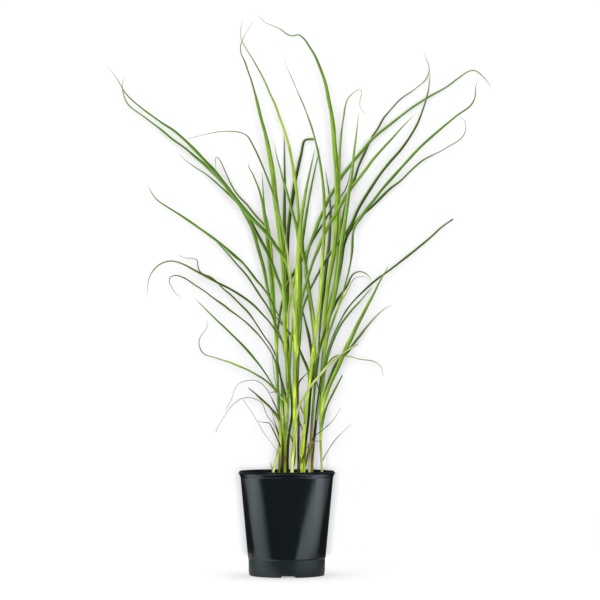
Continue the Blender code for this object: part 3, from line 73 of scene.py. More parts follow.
class Tone(Enum):
    """Plain colours of the clump, as linear red, green and blue."""

    LIME = (0.275, 0.385, 0.020)
    YELLOW = (0.35, 0.35, 0.010)
    BRIGHT = (0.105, 0.190, 0.014)
    GREEN = (0.052, 0.138, 0.012)
    DARK = (0.013, 0.038, 0.0035)
    # Near-black green, darker than a live leaf: painted shade on blades and shoots that lie in the shadow of
    # others.
    DEEP = (0.005, 0.010, 0.002)
    OLIVE = (0.088, 0.108, 0.014)
    PALE = (0.24, 0.33, 0.11)
    CREAM = (0.40, 0.46, 0.16)
    STRAW = (0.40, 0.35, 0.20)
    TAN = (0.20, 0.13, 0.07)
    RUST = (0.15, 0.050, 0.020)
    PURPLE = (0.050, 0.022, 0.013)
    GREY = (0.24, 0.23, 0.19)
    # Near-black: painted shade at the foot of some shoots, where they stand in shadow between the stems at
    # the soil, and the blackened ends of some dead or cut leaves.
    SOOT = (0.012, 0.009, 0.005)


class Tint(Enum):
    """Colours of a kind of growth from its base: tones with their shares of the length."""

    LIME = "lime 0, lime .35, bright .7, olive .95, straw 1"
    BRIGHT = "lime 0, bright .16, bright .7, green .92, straw 1"
    GREEN = "lime 0, bright .14, green .32, green .86, olive .95, straw 1"
    DARK = "bright 0, green .14, dark .3, dark .86, olive .96, tan 1"
    OLIVE = "bright 0, olive .2, olive .85, tan 1"
    PALE = "green 0, pale .12, cream .5, cream .92, grey 1"
    LUSH = "bright 0, bright .9, green 1"
    # Near-black painted shade: on the short leaves set low behind the stems, which darken the gaps between
    # them at the soil, and on dark leaves that lie in shadow.
    SHADE = "dark 0, deep .8, dark 1"
    STUB = "cream 0, cream .75, rust 1"
    RUST = "olive 0, rust .3, tan 1"
    RUSTY = "dark 0, dark .4, rust .7, tan 1"
    DUSK = "dark 0, dark .55, tan .75, grey 1"
    FADED = "straw 0, grey 1"
    WITHERED = "olive 0, tan .25, grey .7, tan 1"


class End(Enum):
    """How a blade ends: drawn out fine, dead and rolled, or cut off."""

    FINE = "fine"
    DEAD = "dead"
    CUT = "cut"


# Shoots in order: depth at the soil and at the top (cm), radius at the soil and at
# the top (mm), tones with their shares of the height, and route from the soil up.
# The near-black tones on some shoots are painted shade where they stand in shadow between the stems.
SHOOTS = [
    (1, 1.8, 2.5, 2.8, "cream 0, cream .7, lime 1",
     [(-2.4, 17.9), (-1.65, 20.6), (-1.25, 22.5), (-0.8, 26.5), (-0.7, 28)]),
    (0.3, 0.5, 2.3, 1.9, "olive 0, olive .1, lime .18, lime .4, green .5, green 1",
     [(-1.35, 17.9), (-1.1, 23), (-1.5, 31), (-1.75, 39.5)]),
    (2.5, 3.4, 2.5, 2, "soot 0, purple .15, purple .35, dark .5, green 1",
     [(-0.9, 17.9), (-0.75, 19.5), (-0.6, 23.5), (-0.65, 28), (-0.85, 33.5)]),
    (-1.8, -2.2, 2.4, 2.8, "lime 0, olive .1, lime .25, bright .5, bright 1",
     [(-0.35, 17.9), (-0.2, 23.5), (0.18, 30), (0.05, 36), (-0.1, 38.5), (-0.2, 41)]),
    (1.1, 1.9, 2.5, 1.9, "soot 0, soot .15, dark .3, dark 1",
     [(0.2, 17.9), (0.1, 19), (0.25, 23), (0.5, 25.2), (0.78, 26.8), (0.95, 28.5), (0.55, 34), (0.35, 37),
      (0.1, 42.5)]),
    (-3.2, -3.8, 3.1, 2.6, "cream 0, lime .2, lime .55, bright .72, lime .85, yellow 1",
     [(0.9, 17.9), (0.95, 19.5), (1.25, 23.5), (1.3, 28), (1.4, 37), (1.38, 43)]),
    (2.2, 3.2, 2.1, 2.2, "purple 0, soot .1, purple .2, purple .4, olive .65, green 1",
     [(2.05, 17.9), (2.05, 20), (2, 22), (2.08, 26), (1.98, 28), (1.88, 34), (1.95, 39.5)]),
    (-2.4, -2.8, 2.3, 2.7, "lime 0, lime .9, bright 1",
     [(2.6, 17.9), (2.65, 20), (2.88, 23), (3, 25), (3.84, 32.5), (4.85, 41.5)]),
    (1.7, 2.4, 2.2, 2.1, "lime 0, olive .12, dark .3, deep .5, dark 1",
     [(3.05, 17.9), (3.2, 22), (3.6, 25.5), (3.9, 28.5), (4.1, 31.5), (4.45, 34.2), (5.05, 37.5)]),
    (-0.5, -0.6, 2.6, 2, "straw 0, tan .15, rust .3, olive .4, green .5, green 1",
     [(4, 17.9), (4, 19), (4.3, 25), (4.9, 33), (5.45, 38)]),
    (2.9, 4.2, 2.4, 2.2, "olive 0, olive .18, deep .28, dark .55, green 1",
     [(4.4, 17.9), (4.4, 19.5), (5.5, 30.7), (6, 34.5), (6.5, 40)]),
    (-0.9, -1.2, 1.9, 2.3, "cream 0, cream .12, lime .25, lime .5, bright .65, green 1",
     [(6.15, 17.9), (5.9, 24), (6, 30), (6.1, 32), (6.27, 36), (6.45, 38), (6.7, 39.6)]),
]

# Blades in order: shoot, depth of the tip (cm), width (mm), turn of the blade at its
# base and its tip (degrees: 0 shows its upper face to the front, 90 and -90 show its
# edge), a Tint or tones with their shares, end, and route from the tip to the shoot.
# The deep tone on some blades is painted shade, near-black where they lie in the shadow of others.
BLADES = [
    (6, -11, 8.8, 24, 52, "lime 0, lime .17, green .24, green .9, straw 1", "fine",
     [(-31.8, 89.3), (-30, 87), (-28, 83.8), (-22, 79), (-20, 77.7), (-18, 76), (-16, 74), (-14, 71.8),
      (-12, 69.6), (-10, 66.9), (-8, 64.3), (-6, 62), (-4.1, 60.1), (-2.8, 58.5), (-1.9, 57.2), (-1.2, 56.3),
      (0, 54), (0.3, 52.8), (0.6, 51.4), (1.2, 46.8), (1.4, 43.6), (1.42, 42)]),
    (2, 8, 7.9, 28, 45, "green", "fine",
     [(-28.2, 88), (-28.9, 85.5), (-28, 82.4), (-25, 80), (-22, 77.7), (-20, 76), (-18, 74.6), (-16, 72.9),
      (-14, 71.2), (-10.2, 67.2), (-8.5, 64.8), (-6.3, 60.9), (-5.7, 59.2), (-5.2, 57.4), (-4.1, 53.4),
      (-3.45, 50), (-3.1, 48.6), (-2.8, 47), (-2.1, 43.4), (-1.9, 41.6), (-1.77, 38.4)]),
    (4, -2, 7.4, 30, 50, "bright 0, green .3, dark .5, green .9, straw 1", "fine",
     [(-19.5, 74.2), (-18, 72.6), (-16, 71.1), (-14, 69.8), (-8, 64.2), (-6.9, 62.7), (-5, 59), (-3.4, 56),
      (-2.4, 53.6), (-1.9, 52.2), (-1.4, 51), (-0.7, 48.6), (-0.22, 40)]),
    (6, -13, 6.8, 52, 56, "lime 0, cream .2, pale .4, green .6, olive 1", "fine",
     [(-18, 76.1), (-12, 77.4), (-10, 77.5), (-8.3, 77.3), (-7, 76.7), (-6, 75.1), (-5, 73), (-3, 68),
      (-1.75, 64.3), (-1, 61.2), (-0.7, 60), (0, 56.3), (0.25, 53.8), (0.6, 51.6), (1.05, 48), (1.3, 44.8),
      (1.35, 43)]),
    (2, 13, 6, 55, 35, "olive", "fine",
     [(-12.4, 70.5), (-12.5, 71.8), (-12.4, 73), (-12, 72.8), (-10, 68.6), (-9, 66.8), (-8, 65.6),
      (-7, 64.6), (-6, 63.3), (-5, 62.1), (-4.2, 61.3), (-3.6, 60.3), (-3.2, 59.2), (-2.75, 56),
      (-2.4, 48.4), (-2.05, 44.2), (-1.8, 40.4), (-1.75, 38.8)]),
    (4, -7, 9.8, -44, 80, "bright", "fine",
     [(-5.1, 97.8), (-6.3, 96.3), (-7.9, 93.4), (-8.2, 92.2), (-8, 91), (-7.5, 90), (-7, 88.5), (-6.3, 86.5),
      (-5.6, 84), (-4.5, 79.5), (-3.8, 77), (-2.5, 70), (-2.1, 66), (-1.55, 62), (-0.82, 56), (-0.55, 52),
      (-0.5, 50), (-0.42, 48), (-0.38, 42), (-0.15, 38.6)]),
    (5, 11, 6, 20, 36, "lime 0, bright .3, lime .6, bright .85, straw 1", "fine",
     [(-7.7, 97.8), (-7.9, 96.4), (-8.2, 95), (-7.9, 93.4), (-6, 90.2), (-4, 86.5), (-3, 84.2), (-2, 82),
      (-1.2, 79.6), (-0.5, 77.8), (0.7, 73.2), (1.8, 65.5), (2, 62.5), (1.9, 56), (1.75, 54), (1.25, 51),
      (0.75, 48.9), (0.5, 47.5), (0.15, 44.4), (0.1, 43), (0.15, 41.4)]),
    (11, -11, 10, -24, 60, "bright", "fine",
     [(-6.3, 98.4), (-5, 97.9), (-4, 96.8), (-2, 95.9), (-1, 95.4), (0, 94.6), (1, 94.3), (2, 94.5),
      (3, 93.8), (4, 92.3), (5, 90.6), (6.7, 86), (7.2, 83.5), (7.8, 80.5), (8.1, 78), (8.4, 74), (8.75, 70),
      (8.8, 66), (8.7, 63), (8.6, 60), (8.15, 55.5), (7.3, 51), (6.8, 46.5), (6.6, 45), (6.45, 41.8),
      (6.48, 40.2), (6.42, 38.8)]),
    (8, -5, 7.2, -16, -72, "lime 0, lime .2, bright .4, green .9, straw 1", "fine",
     [(-0.7, 91.5), (0, 88.8), (1, 86.6), (2, 84.2), (3, 82), (4, 79.3), (4.5, 77.8), (5.6, 73.4),
      (6.3, 68.8), (6.6, 64), (6.45, 57.8), (6.3, 56), (6.2, 54), (6.05, 52), (5.8, 48), (5.18, 43.6),
      (4.88, 41)]),
    (5, 22, 7.5, 15, 15, "dark", "fine",
     [(-0.5, 77.2), (-0.4, 69), (-0.45, 59.5), (0.08, 50.5), (0.12, 41.8)]),
    (7, -19, 6.5, -30, 20, "green", "fine",
     [(-2.2, 75.3), (-1.8, 73.2), (-1.2, 71), (-0.7, 69), (0, 66.8), (0.6, 64.6), (1.6, 61), (1.98, 58.8),
      (2.4, 53), (2.35, 49), (2.05, 43), (1.97, 39)]),
    (5, 16, 7.4, 24, -16, "green 0, dark .3, deep .7, deep .95, olive 1", "cut",
     [(4.9, 76.1), (3.7, 76.1), (3.1, 75.9), (2.5, 73.5), (1.3, 68), (1, 66), (0.45, 62.3), (0.15, 59.2),
      (0, 55.4), (0.08, 48), (0.13, 41.2)]),
    (6, -10, 9.6, -44, -32, "green 0, bright .15, lime .3, lime .5, bright .6, bright 1", "fine",
     [(4.95, 74.6), (3.4, 67.4), (3.05, 65.2), (2.7, 63), (2.27, 59), (1.77, 47), (1.87, 43), (1.95, 39.2)]),
    (8, 15, 7.5, -40, -36, "green", "fine",
     [(5.9, 75), (5.3, 72.5), (4, 66.2), (2.87, 59), (2.8, 57.8), (2.85, 56.6), (3.3, 54.2), (3.72, 51.8),
      (4.12, 49), (4.78, 44.6), (4.88, 41.8)]),
    (10, 21, 7, -44, 16, "dark", "fine",
     [(6.7, 71), (6.9, 69.6), (7.3, 67.2), (7.65, 63.5), (7.6, 62), (7.4, 58), (6.85, 53.5), (6.4, 49),
      (5.92, 44.6), (5.52, 38.6)]),
    (11, 7.5, 8.6, -20, -70,
     "lime 0, bright .25, pale .4, cream .5, pale .62, green .72, yellow .9, straw 1", "fine",
     [(15, 80.3), (13.6, 80.8), (12.9, 81.6), (12.8, 83), (13.1, 84.3), (12.8, 84.9), (10.9, 83.5),
      (10.3, 82), (10, 80), (9.7, 78), (9.4, 75), (9.25, 72), (9.2, 64.5), (9.27, 61), (9.2, 58),
      (8.63, 52.4), (8.05, 48), (6.93, 43.2), (6.68, 40.9)]),
    (12, -17, 7.9, -40, -20, "bright 0, green .4, bright .9, straw 1", "fine",
     [(12.7, 81.3), (12.4, 79), (12.2, 77), (11.8, 74), (11.3, 69), (11, 67.6), (10.8, 66), (10.15, 61.2),
      (9.7, 58.5), (9.27, 54.2), (9.1, 53), (8.7, 50), (8.17, 47.4), (7.3, 43.8), (6.92, 41), (6.8, 39.6)]),
    (2, 10, 6.9, -20, -48, "green 0, deep .25, deep .75, dark .9, olive 1", "fine",
     [(11.4, 72), (11.2, 71), (10.9, 69.2), (10.4, 67.6), (9.6, 66.2), (8.2, 64.4), (6.9, 62.3), (6.3, 61.2),
      (5.5, 60), (4.5, 58.3), (4, 57.2), (2.85, 55.3), (0.45, 51.2), (0.05, 50.2), (-0.55, 48.2),
      (-0.85, 47.2), (-1.45, 43.8), (-1.68, 40.8), (-1.72, 39.2)]),
    (11, 17, 8.2, -48, -56, "dark", "fine",
     [(23.8, 92), (24.3, 90.6), (24.8, 89.5), (25, 88.3), (24.6, 87), (24, 86.2), (22, 84.6), (20, 83.2),
      (18, 81), (17, 79.8), (16, 78), (15, 76.5), (14.3, 75), (13.3, 73), (12.5, 71), (12, 69.3),
      (10.8, 66.2), (9.9, 62.4), (9.1, 56), (8.2, 50.2), (7.1, 45.2), (6.85, 43.6), (6.58, 40.4)]),
    (7, 9, 8.4, -60, -24, "dark", "fine",
     [(24.9, 89), (25.1, 87.5), (25, 86), (24.8, 84.5), (23.3, 79.8), (22, 77.2), (20, 74.3), (18, 72),
      (16, 69.4), (13, 64.7), (12.1, 62.9), (11.5, 61.5), (10.9, 60.4), (10.1, 59.3), (8.6, 57.2),
      (7.2, 55.3), (4.3, 50.1), (3.02, 47), (2.77, 46), (2.43, 41.6), (2.12, 38.8), (2.02, 37.2)]),
    (9, 15, 8, -44, -30, "green", "fine",
     [(35.7, 84), (35.8, 85.2), (34.3, 87.3), (33, 88.2), (32, 88.1), (30, 86.8), (28, 85.3), (25, 83.6),
      (22, 81.7), (18, 78.6), (16, 77), (14.5, 75.6), (13.2, 74), (12, 72.6), (11, 71.3), (9.8, 69.8),
      (8.3, 67.2), (7.5, 65.9), (6.9, 64.5), (5.6, 61.6), (5.1, 60.2), (4.15, 57.7), (3.5, 55.4),
      (3.33, 52.8), (3.42, 51.4), (4.5, 43.8), (4.97, 38), (4.98, 36.8)]),
    (12, -8, 9, -80, -25, "green", "fine",
     [(34, 87), (33.4, 86.3), (33.1, 85), (33, 83.5), (32.2, 82), (30, 80.4), (25, 76.2), (23, 74.3),
      (21, 72.1), (17, 67.6), (15.3, 65.4), (14, 63.8), (13, 62.3), (12.1, 60.9), (11.7, 59.6), (11.45, 56),
      (10.68, 52), (10.12, 50), (9.85, 49), (9.2, 47.3), (8.3, 44.4), (7.22, 41.4), (6.95, 40.4),
      (6.75, 39.2)]),
    (7, -15, 9.2, -68, -20, "bright", "fine",
     [(22.7, 80.8), (20, 78), (18.5, 76.3), (17, 74.7), (15, 72.4), (14, 71), (10.6, 66.5), (9.4, 64.4),
      (7.3, 60.8), (6.15, 58.4), (5.4, 56.5), (5, 55.6), (3.85, 52.1), (2.88, 48.8), (2.05, 41.6),
      (1.83, 38)]),
    (11, 9, 8.8, -36, -64, "green 0, deep .3, dark .5, green .9, tan 1", "fine",
     [(30, 80.2), (31, 79.6), (31.4, 78.5), (31.1, 77), (30.3, 76), (28.5, 74.9), (27, 74), (24, 72.5),
      (22, 70.8), (20, 68.8), (18, 67.3), (14.7, 64), (13.5, 63), (12.4, 61.8), (11.5, 60.6), (10.8, 59.6),
      (10.05, 57.6), (9.65, 55), (8.6, 49.2), (7.42, 45), (6.85, 42.2), (6.52, 39.2)]),
    (2, -2, 7.4, 12, 16, "green", "fine",
     [(-6.5, 72.4), (-6.8, 71.8), (-6.6, 71.1), (-6, 70), (-5.5, 68.8), (-5, 67.6), (-4.3, 65),
      (-4.05, 63.3), (-3.65, 60.8), (-3.4, 58.2), (-3.03, 54.5), (-2.93, 53.2), (-2.67, 50.7), (-2.37, 46.4),
      (-1.92, 41.6), (-1.77, 38.4)]),
    (2, 5, 5.9, 24, 12, "lime", "fine",
     [(-4.4, 70.5), (-3.85, 63.2), (-3.55, 62), (-3.05, 59.4), (-2.65, 55), (-2.23, 47.2), (-1.8, 40)]),
    (4, -5, 7.8, 78, 25, "green", "fine",
     [(-24.6, 68.5), (-23.5, 66.4), (-22.8, 65.5), (-18, 62.3), (-12, 58), (-9, 55.4), (-8, 54.6),
      (-7, 53.5), (-5.2, 51.1), (-4.4, 50.2), (-3.1, 48.3), (-2.12, 46.3), (-0.82, 43.8), (-0.5, 42.8),
      (-0.32, 41.6), (-0.15, 38.8)]),
    (4, 4, 6.5, 72, 36, "green", "fine",
     [(-14.2, 60), (-13, 58.8), (-10, 55.6), (-9, 54.4), (-7, 52.1), (-4.6, 48.4), (-3.5, 46.8),
      (-2.7, 45.3), (-0.9, 40.8), (-0.35, 38.6), (-0.18, 37.4)]),
    (4, -9, 7.2, 62, 45, "bright 0, green .15, dark .5, olive .8, grey .92, tan 1", "fine",
     [(-24.8, 48.2), (-24.4, 49.3), (-24.2, 51.3), (-23.6, 52.7), (-22.4, 54), (-20.5, 54.7), (-18.5, 54.3),
      (-16, 53), (-12, 50.8), (-10, 49.8), (-8, 48.6), (-6, 47.1), (-4, 45), (-3, 43.9), (-0.35, 39.8),
      (0, 38.9), (0.13, 38), (0.1, 36)]),
    (3, 8, 6.2, 76, 40, "olive", "dead",
     [(-19.3, 55.9), (-17.5, 55.2), (-16.5, 55.2), (-15.7, 54.8), (-15.65, 54), (-15.3, 52.9), (-14.5, 52.3),
      (-13.4, 51.9), (-12.3, 51), (-11, 49.7), (-10, 48.9), (-8, 46.9), (-7, 45.9), (-6, 44.6), (-3.9, 41.4),
      (-2.8, 39.8), (-1.72, 37.4), (-1.45, 36.4), (-0.97, 33.4), (-0.88, 32.2)]),
    (2, -6, 6.2, 68, 45, "bright 0, olive .3, olive .75, rust .86, tan 1", "dead",
     [(-18.7, 48), (-18.9, 48.7), (-19.4, 49), (-20, 50), (-20.5, 51), (-20.4, 51.8), (-19.5, 52.15),
      (-18, 51.7), (-16, 50.4), (-15, 49.8), (-14, 49.1), (-13, 48.3), (-11, 46.9), (-10, 46.1), (-9, 45.4),
      (-7, 43.8), (-6, 42.8), (-5, 41.8), (-3, 39.1), (-2.1, 37.3), (-1.85, 36.4), (-1.67, 34)]),
    (4, -7, 7, 76, 35, "green", "fine",
     [(-16.2, 48.3), (-12, 44.1), (-11, 43.2), (-10, 42.2), (-8, 40.2), (-5, 36.7), (-3.5, 34.6),
      (-2.9, 33.6), (-1.8, 32), (-1.2, 31.3), (-0.6, 30.7), (-0.15, 30), (0.03, 29), (0.06, 28)]),
    (1, 4, 5.7, 45, 70, "lime 0, green .3, lime .55, yellow .66, tan .75, grey .9, tan 1", "dead",
     [(-14.05, 44.4), (-14, 43.1), (-14.95, 41.8), (-15.35, 41), (-15.4, 40.2), (-15.15, 39.3),
      (-14.6, 38.5), (-13.8, 38.1), (-13, 37.9), (-11, 37.25), (-10, 36.95), (-9, 36.5), (-7, 35.7),
      (-5, 34.6), (-4, 34), (-2.45, 32.6), (-1.45, 31.1), (-0.88, 28.9), (-0.78, 27.6)]),
    (1, -4, 6.2, 40, 60, "green 0, olive .4, olive .9, tan 1", "cut",
     [(-6.7, 32.5), (-5.5, 31.5), (-4.8, 30.8), (-3.2, 29.4), (-2.5, 28.6), (-1.9, 27.9), (-1.45, 27.1),
      (-1.15, 26.2), (-1.02, 25.2)]),
    (12, 6, 5.8, -78, -25, "green 0, dark .25, deep .4, dark .9, rust .96, soot 1", "cut",
     [(29.1, 62.1), (27, 60.6), (25.3, 59), (18, 53.1), (16, 51.7), (14, 50), (12, 48), (11, 46.8),
      (10, 45.3), (8.15, 41.7), (7.18, 38.9), (6.72, 36.6), (6.55, 35.2)]),
    (9, -4, 7.6, -44, -40, "green 0, dark .35, deep .6, green .9, grey 1", "fine",
     [(14.9, 51.2), (14.6, 51.7), (14.1, 52.3), (13.6, 52.65), (13, 52.85), (12.3, 52.8), (11.7, 52.5),
      (11.2, 51.9), (10.5, 50.3), (9, 48.2), (8.22, 46.7), (6.75, 42.7), (5.5, 38.6), (5.08, 36.6)]),
    (12, -10, 5.7, -35, -65, "bright 0, bright .4, lime .6, yellow .8, rust .9, straw 1", "fine",
     [(14.6, 51.2), (14.2, 51.7), (13.6, 52), (11.9, 51.7), (11.2, 50.8), (10.95, 50.2), (10.3, 49),
      (9.52, 47.7), (7.42, 42.3), (6.88, 40), (6.5, 37.2)]),
    (12, -12, 9.6, -40, -40, "bright", "fine",
     [(17.8, 54.2), (17.5, 53.4), (16.45, 51.5), (14.87, 48.3), (14.4, 47.5), (13.55, 45.8), (12.1, 43),
      (11.38, 41.4), (10.65, 40), (8.7, 35.4), (8.3, 34.6), (6.65, 30.8), (6.35, 29.7), (6.15, 28.5)]),
    (12, 11, 6.8, -60, -36, "green", "fine",
     [(15.2, 50.4), (14, 49.1), (13, 47.9), (11.4, 46.15), (10.5, 45), (9.6, 43.8), (8.4, 41.4), (7.6, 39.3),
      (6.95, 36.9), (6.5, 34.2)]),
    (12, 14, 6, 4, -40, "green 0, dark .3, olive .7, grey 1", "fine",
     [(18.4, 47), (17, 46.3), (15.7, 45.15), (13.25, 42.3), (12.75, 41.6), (12.25, 41), (10.9, 39.2),
      (10.3, 38.55), (9.15, 37.5), (8.75, 37), (8.1, 35.8), (6.62, 31.8), (6.2, 29.8)]),
    (6, -19, 5.2, -25, -45, "pale", "cut",
     [(12.5, 40.2), (12, 39.95), (9.7, 38.5), (9.15, 38.1), (8.6, 37.75), (7.5, 36.75), (5.5, 34.4),
      (4.5, 33.25), (2.45, 30), (2.12, 29.2), (1.7, 27.2), (1.6, 26)]),
    (11, 3, 5.2, -60, -72, "lime 0, bright .3, yellow .55, tan .7, grey .9, soot 1", "dead",
     [(16.85, 34.6), (16.7, 35.3), (16.6, 35.9), (16.35, 36.35), (15.5, 37), (14.3, 37.35), (13.5, 37.4),
      (12.2, 37.65), (11.5, 37.85), (9.4, 38.2), (8.2, 37.9), (7.05, 36.5), (6.45, 35.1), (6, 33)]),
    (12, -5, 6.8, -58, -56, "dark 0, green .25, green 1", "cut",
     [(9.7, 34.75), (7.22, 29.8), (6.55, 28.2), (6.3, 27.2), (6.05, 25)]),
    (8, 1.5, 6.2, 24, 56, "dark", "cut",
     [(-1.95, 44.95), (-1, 43.75), (0.1, 42.5), (1.3, 40.65), (2.4, 38.6), (2.8, 37.65), (3.6, 35.8),
      (3.82, 34.8), (3.86, 33.8), (3.8, 32.8)]),
    (9, 9, 6.2, 28, 28, "dark", "fine", [(2.2, 48.4), (2.45, 47.2), (3.9, 41), (4.4, 37.2), (4.5, 34.8)]),
]

# Blades that leave the far side of their shoot although they lean to the front.
FAR_SIDE = {1, 11, 23}

# Small withered, broken or young leaves that are one growth with their shoot: shoot,
# depth of the tip (cm), width (mm), turn, Tint, and route from the tip into the shoot.
# The short near-black shade leaves low behind the stems are painted shade for the gaps
# between the stems at the soil.
SMALL_LEAVES = [
    (1, 3, 2.2, 60, "withered",
     [(-12.4, 24.9), (-11.6, 26.5), (-11, 27.4), (-10, 29), (-9, 30), (-7.8, 30.7), (-6.5, 30.85),
      (-5.3, 30.5), (-4.4, 29.9), (-3.4, 27.6), (-2.6, 26.6), (-1.9, 25.4), (-1.13, 23.2)]),
    (1, 7, 2.2, 60, "withered",
     [(-10.7, 28.9), (-9.9, 30), (-9, 32.5), (-8.2, 33.4), (-7, 33.8), (-5.6, 33.85), (-4.5, 33.3),
      (-3.6, 32.4), (-2.9, 31.2), (-2.3, 29.8), (-1.6, 28.4), (-1.1, 27), (-0.85, 25.9)]),
    (1, -3, 1.6, 40, "faded",
     [(-7.8, 30.8), (-5.9, 27.9), (-5, 26.4), (-4.2, 25), (-1.75, 21.6), (-1.5, 20.9)]),
    (1, -0.4, 3.2, 0, "stub", [(-2.85, 19.6), (-2.55, 18.4), (-2.38, 17.95)]),
    (2, -7, 3, 30, "rusty",
     [(-5, 26.8), (-4.3, 26.55), (-3.1, 26.4), (-2.6, 25.6), (-1.25, 22.6), (-1.12, 21.8)]),
    (2, 2, 2.6, 30, "rusty", [(-2.6, 28.4), (-2.2, 26.8), (-1.55, 24.9), (-1.25, 23.8), (-1.12, 22.9)]),
    (2, -1.5, 3, 40, "rusty", [(-3.1, 31.7), (-2.05, 29.5), (-1.3, 27.1), (-1.18, 26)]),
    (2, -4, 2.2, 40, "lime", [(-2.6, 38.6), (-2.25, 35.2), (-1.55, 30.4)]),
    (2, 0.8, 2.4, 20, "rust",
     [(-3.3, 31.9), (-2.7, 31.75), (-2.2, 31.85), (-1.8, 31.7), (-1.58, 31.2), (-1.48, 30.5)]),
    (4, -2.6, 7.2, 10, "lush", [(1.05, 45.5), (0.93, 42.7), (0.49, 38), (0.08, 29)]),
    (4, 1, 5.2, 30, "shade", [(-1.85, 37.3), (-0.4, 31.6), (-0.1, 30.5), (0.12, 29.4)]),
    (6, -4.6, 2.8, 20, "shade", [(-0.2, 25.9), (0.6, 24.3), (0.95, 23.3), (1.15, 22.2)]),
    (7, 3, 4.2, -25, "shade", [(3.8, 35.4), (2.2, 33.6), (1.98, 32.6), (1.9, 31.6)]),
    (7, 2, 3.6, -30, "shade", [(3, 24.6), (2.05, 27.1), (1.98, 28)]),
    (8, -5, 3, -30, "rusty", [(4.3, 23.4), (3.9, 22.7), (3.5, 22.1), (3.2, 21.3), (2.7, 20), (2.64, 19.2)]),
    (8, -1.4, 2.8, -20, "rust", [(1.65, 31.2), (3.02, 27.7), (3.18, 26.8)]),
    (10, -1.6, 3.2, 0, "shade", [(3.6, 23), (3.98, 21.3), (4.08, 20.4)]),
    (10, -4, 2.4, -50, "dusk", [(9.4, 29), (8, 26.8), (6.4, 25.3), (5, 24.2), (4.45, 23.5), (4.22, 22.6)]),
    (10, -6, 2.4, -40, "withered", [(6.1, 23.35), (5, 23.15), (4.5, 22.7), (4.2, 21.9)]),
    (3, 3.4, 4.2, 0, "shade", [(-0.1, 22.8), (-0.22, 21.2), (-0.45, 19.8), (-0.78, 18.6)]),
    (4, -3, 3.4, 10, "lush", [(-0.62, 27), (-0.55, 25.4), (-0.3, 22)]),
    (6, -1.5, 3.6, 10, "shade", [(1.5, 23.6), (1.4, 20.6), (1.25, 19.3), (1, 18.4)]),
    (7, 1.2, 3.2, 0, "shade", [(2.5, 21.6), (2.38, 20.4), (2.08, 18.4)]),
    (8, -3.6, 3.2, 0, "lime", [(2.3, 24.2), (2.45, 21), (2.62, 19.4)]),
    (8, -3.8, 3.2, 10, "lush", [(3.12, 31.4), (3, 28.5), (3.1, 25.8)]),
    (9, 3.4, 4, 0, "shade", [(3.82, 23), (3.7, 21.5), (3.45, 20), (3.12, 18.6)]),
    (10, 1.5, 4.2, 0, "shade", [(4.85, 24), (4.45, 20.8), (4.05, 19)]),
    (11, 1.2, 3.8, 0, "lush", [(5.78, 32), (5.5, 28.8), (5.1, 26.4)]),
    (12, 3, 2.2, -50, "dusk",
     [(11.2, 26.2), (10.2, 25.3), (8.4, 23.4), (7.6, 22.2), (6.5, 20.4), (6.2, 19.6), (6.08, 19)]),
    (12, 1, 3.4, 30, "shade", [(4.9, 35.2), (5, 34.2), (5.3, 33.2), (5.85, 31.2), (6, 30.2), (6.02, 29.4)]),
]


# -------- lines of the clump

SAMPLES = 60
SHARES = np.linspace(0, 1, SAMPLES)
SPLINE_STEPS = 12
PLANTING_DEPTH = 14 * MM
MERGE_DISTANCE = 2e-6
SHOOT_SEED = 100
SMALL_SEED = 300
BLADE_SEED = 500

# Width along a leaf, in shares of its greatest width and of its length.
BASE_WIDTH_SHARE = 0.55
FULL_WIDTH_AT = 0.34
CUT_WIDTH_SHARE = 0.55
CUT_FROM = 0.7
TIP_WIDTH = 0.95 * MM
TAPER_SHARE = 0.5
TAPER_POWER = 0.62
SMALL_TAPER_POWER = 0.7

# How late along it a leaf changes depth, and how leaves are eased clear of each other.
BLADE_SWEEP = 1.35
SMALL_SWEEP = 1.2
BLADE_GIVE = 0.6
BLADE_FOLD = 0.30
BLADE_MIDRIB = 1.1 * MM
SMALL_HELD = 0.12
SMALL_FREED_OVER = 0.3
SMALL_LEAN = 0.5
CLEAR_ACROSS = 1.2 * MM
CLEAR_AWAY = 0.8 * MM
TOUCH = 0.02 * MM
LEAN_BIAS = 1.0 * MM
EASE_SAMPLES = 4
SETTLE_ROUNDS = 150


def distances(line: np.ndarray) -> np.ndarray:
    """Distance of each point along a line from its first."""
    return np.concatenate([[0.0], np.cumsum(np.linalg.norm(np.diff(line, axis=0), axis=1))])


def smooth_route(points: list, count: int) -> np.ndarray:
    """Points at even steps along a centripetal spline through the given points.

    Args:
        points: The route's points, (across, up) in centimetres.
        count: How many points to give.

    Returns:
        An array of count points.
    """
    given = np.array(points, dtype=float)
    ends = [2 * given[0] - given[1], *given, 2 * given[-1] - given[-2]]
    fine = []
    for run in zip(ends, ends[1:], ends[2:], ends[3:]):
        knots = [0.0]
        for before, after in zip(run, run[1:]):
            knots.append(knots[-1] + max(float(np.linalg.norm(after - before)), 1e-6) ** 0.5)
        for now in knots[1] + (knots[2] - knots[1]) * np.arange(SPLINE_STEPS) / SPLINE_STEPS:
            level = list(run)
            for reach, first in ((1, 0), (2, 0), (1, 1)):
                level = [((knots[at + reach] - now) * one + (now - knots[at]) * two)
                         / (knots[at + reach] - knots[at])
                         for at, (one, two) in enumerate(zip(level, level[1:]), first)]
            fine.append(level[0])
    fine = np.array([*fine, given[-1]])
    length = distances(fine)
    marks = np.linspace(0.0, length[-1], count)
    return np.column_stack([np.interp(marks, length, fine[:, axis]) for axis in range(2)])


def at_depth(flat: np.ndarray, depth: np.ndarray) -> np.ndarray:
    """Slide drawn points to their depths along the lines of sight.

    Args:
        flat: Drawn points in centimetres.
        depth: Their depths in metres.

    Returns:
        The points in space, in metres.
    """
    drawn = np.column_stack([flat[:, 0] * CM, np.zeros(len(flat)), flat[:, 1] * CM])
    return EYE + (drawn - EYE) * ((depth - EYE[1]) / -EYE[1])[:, None]


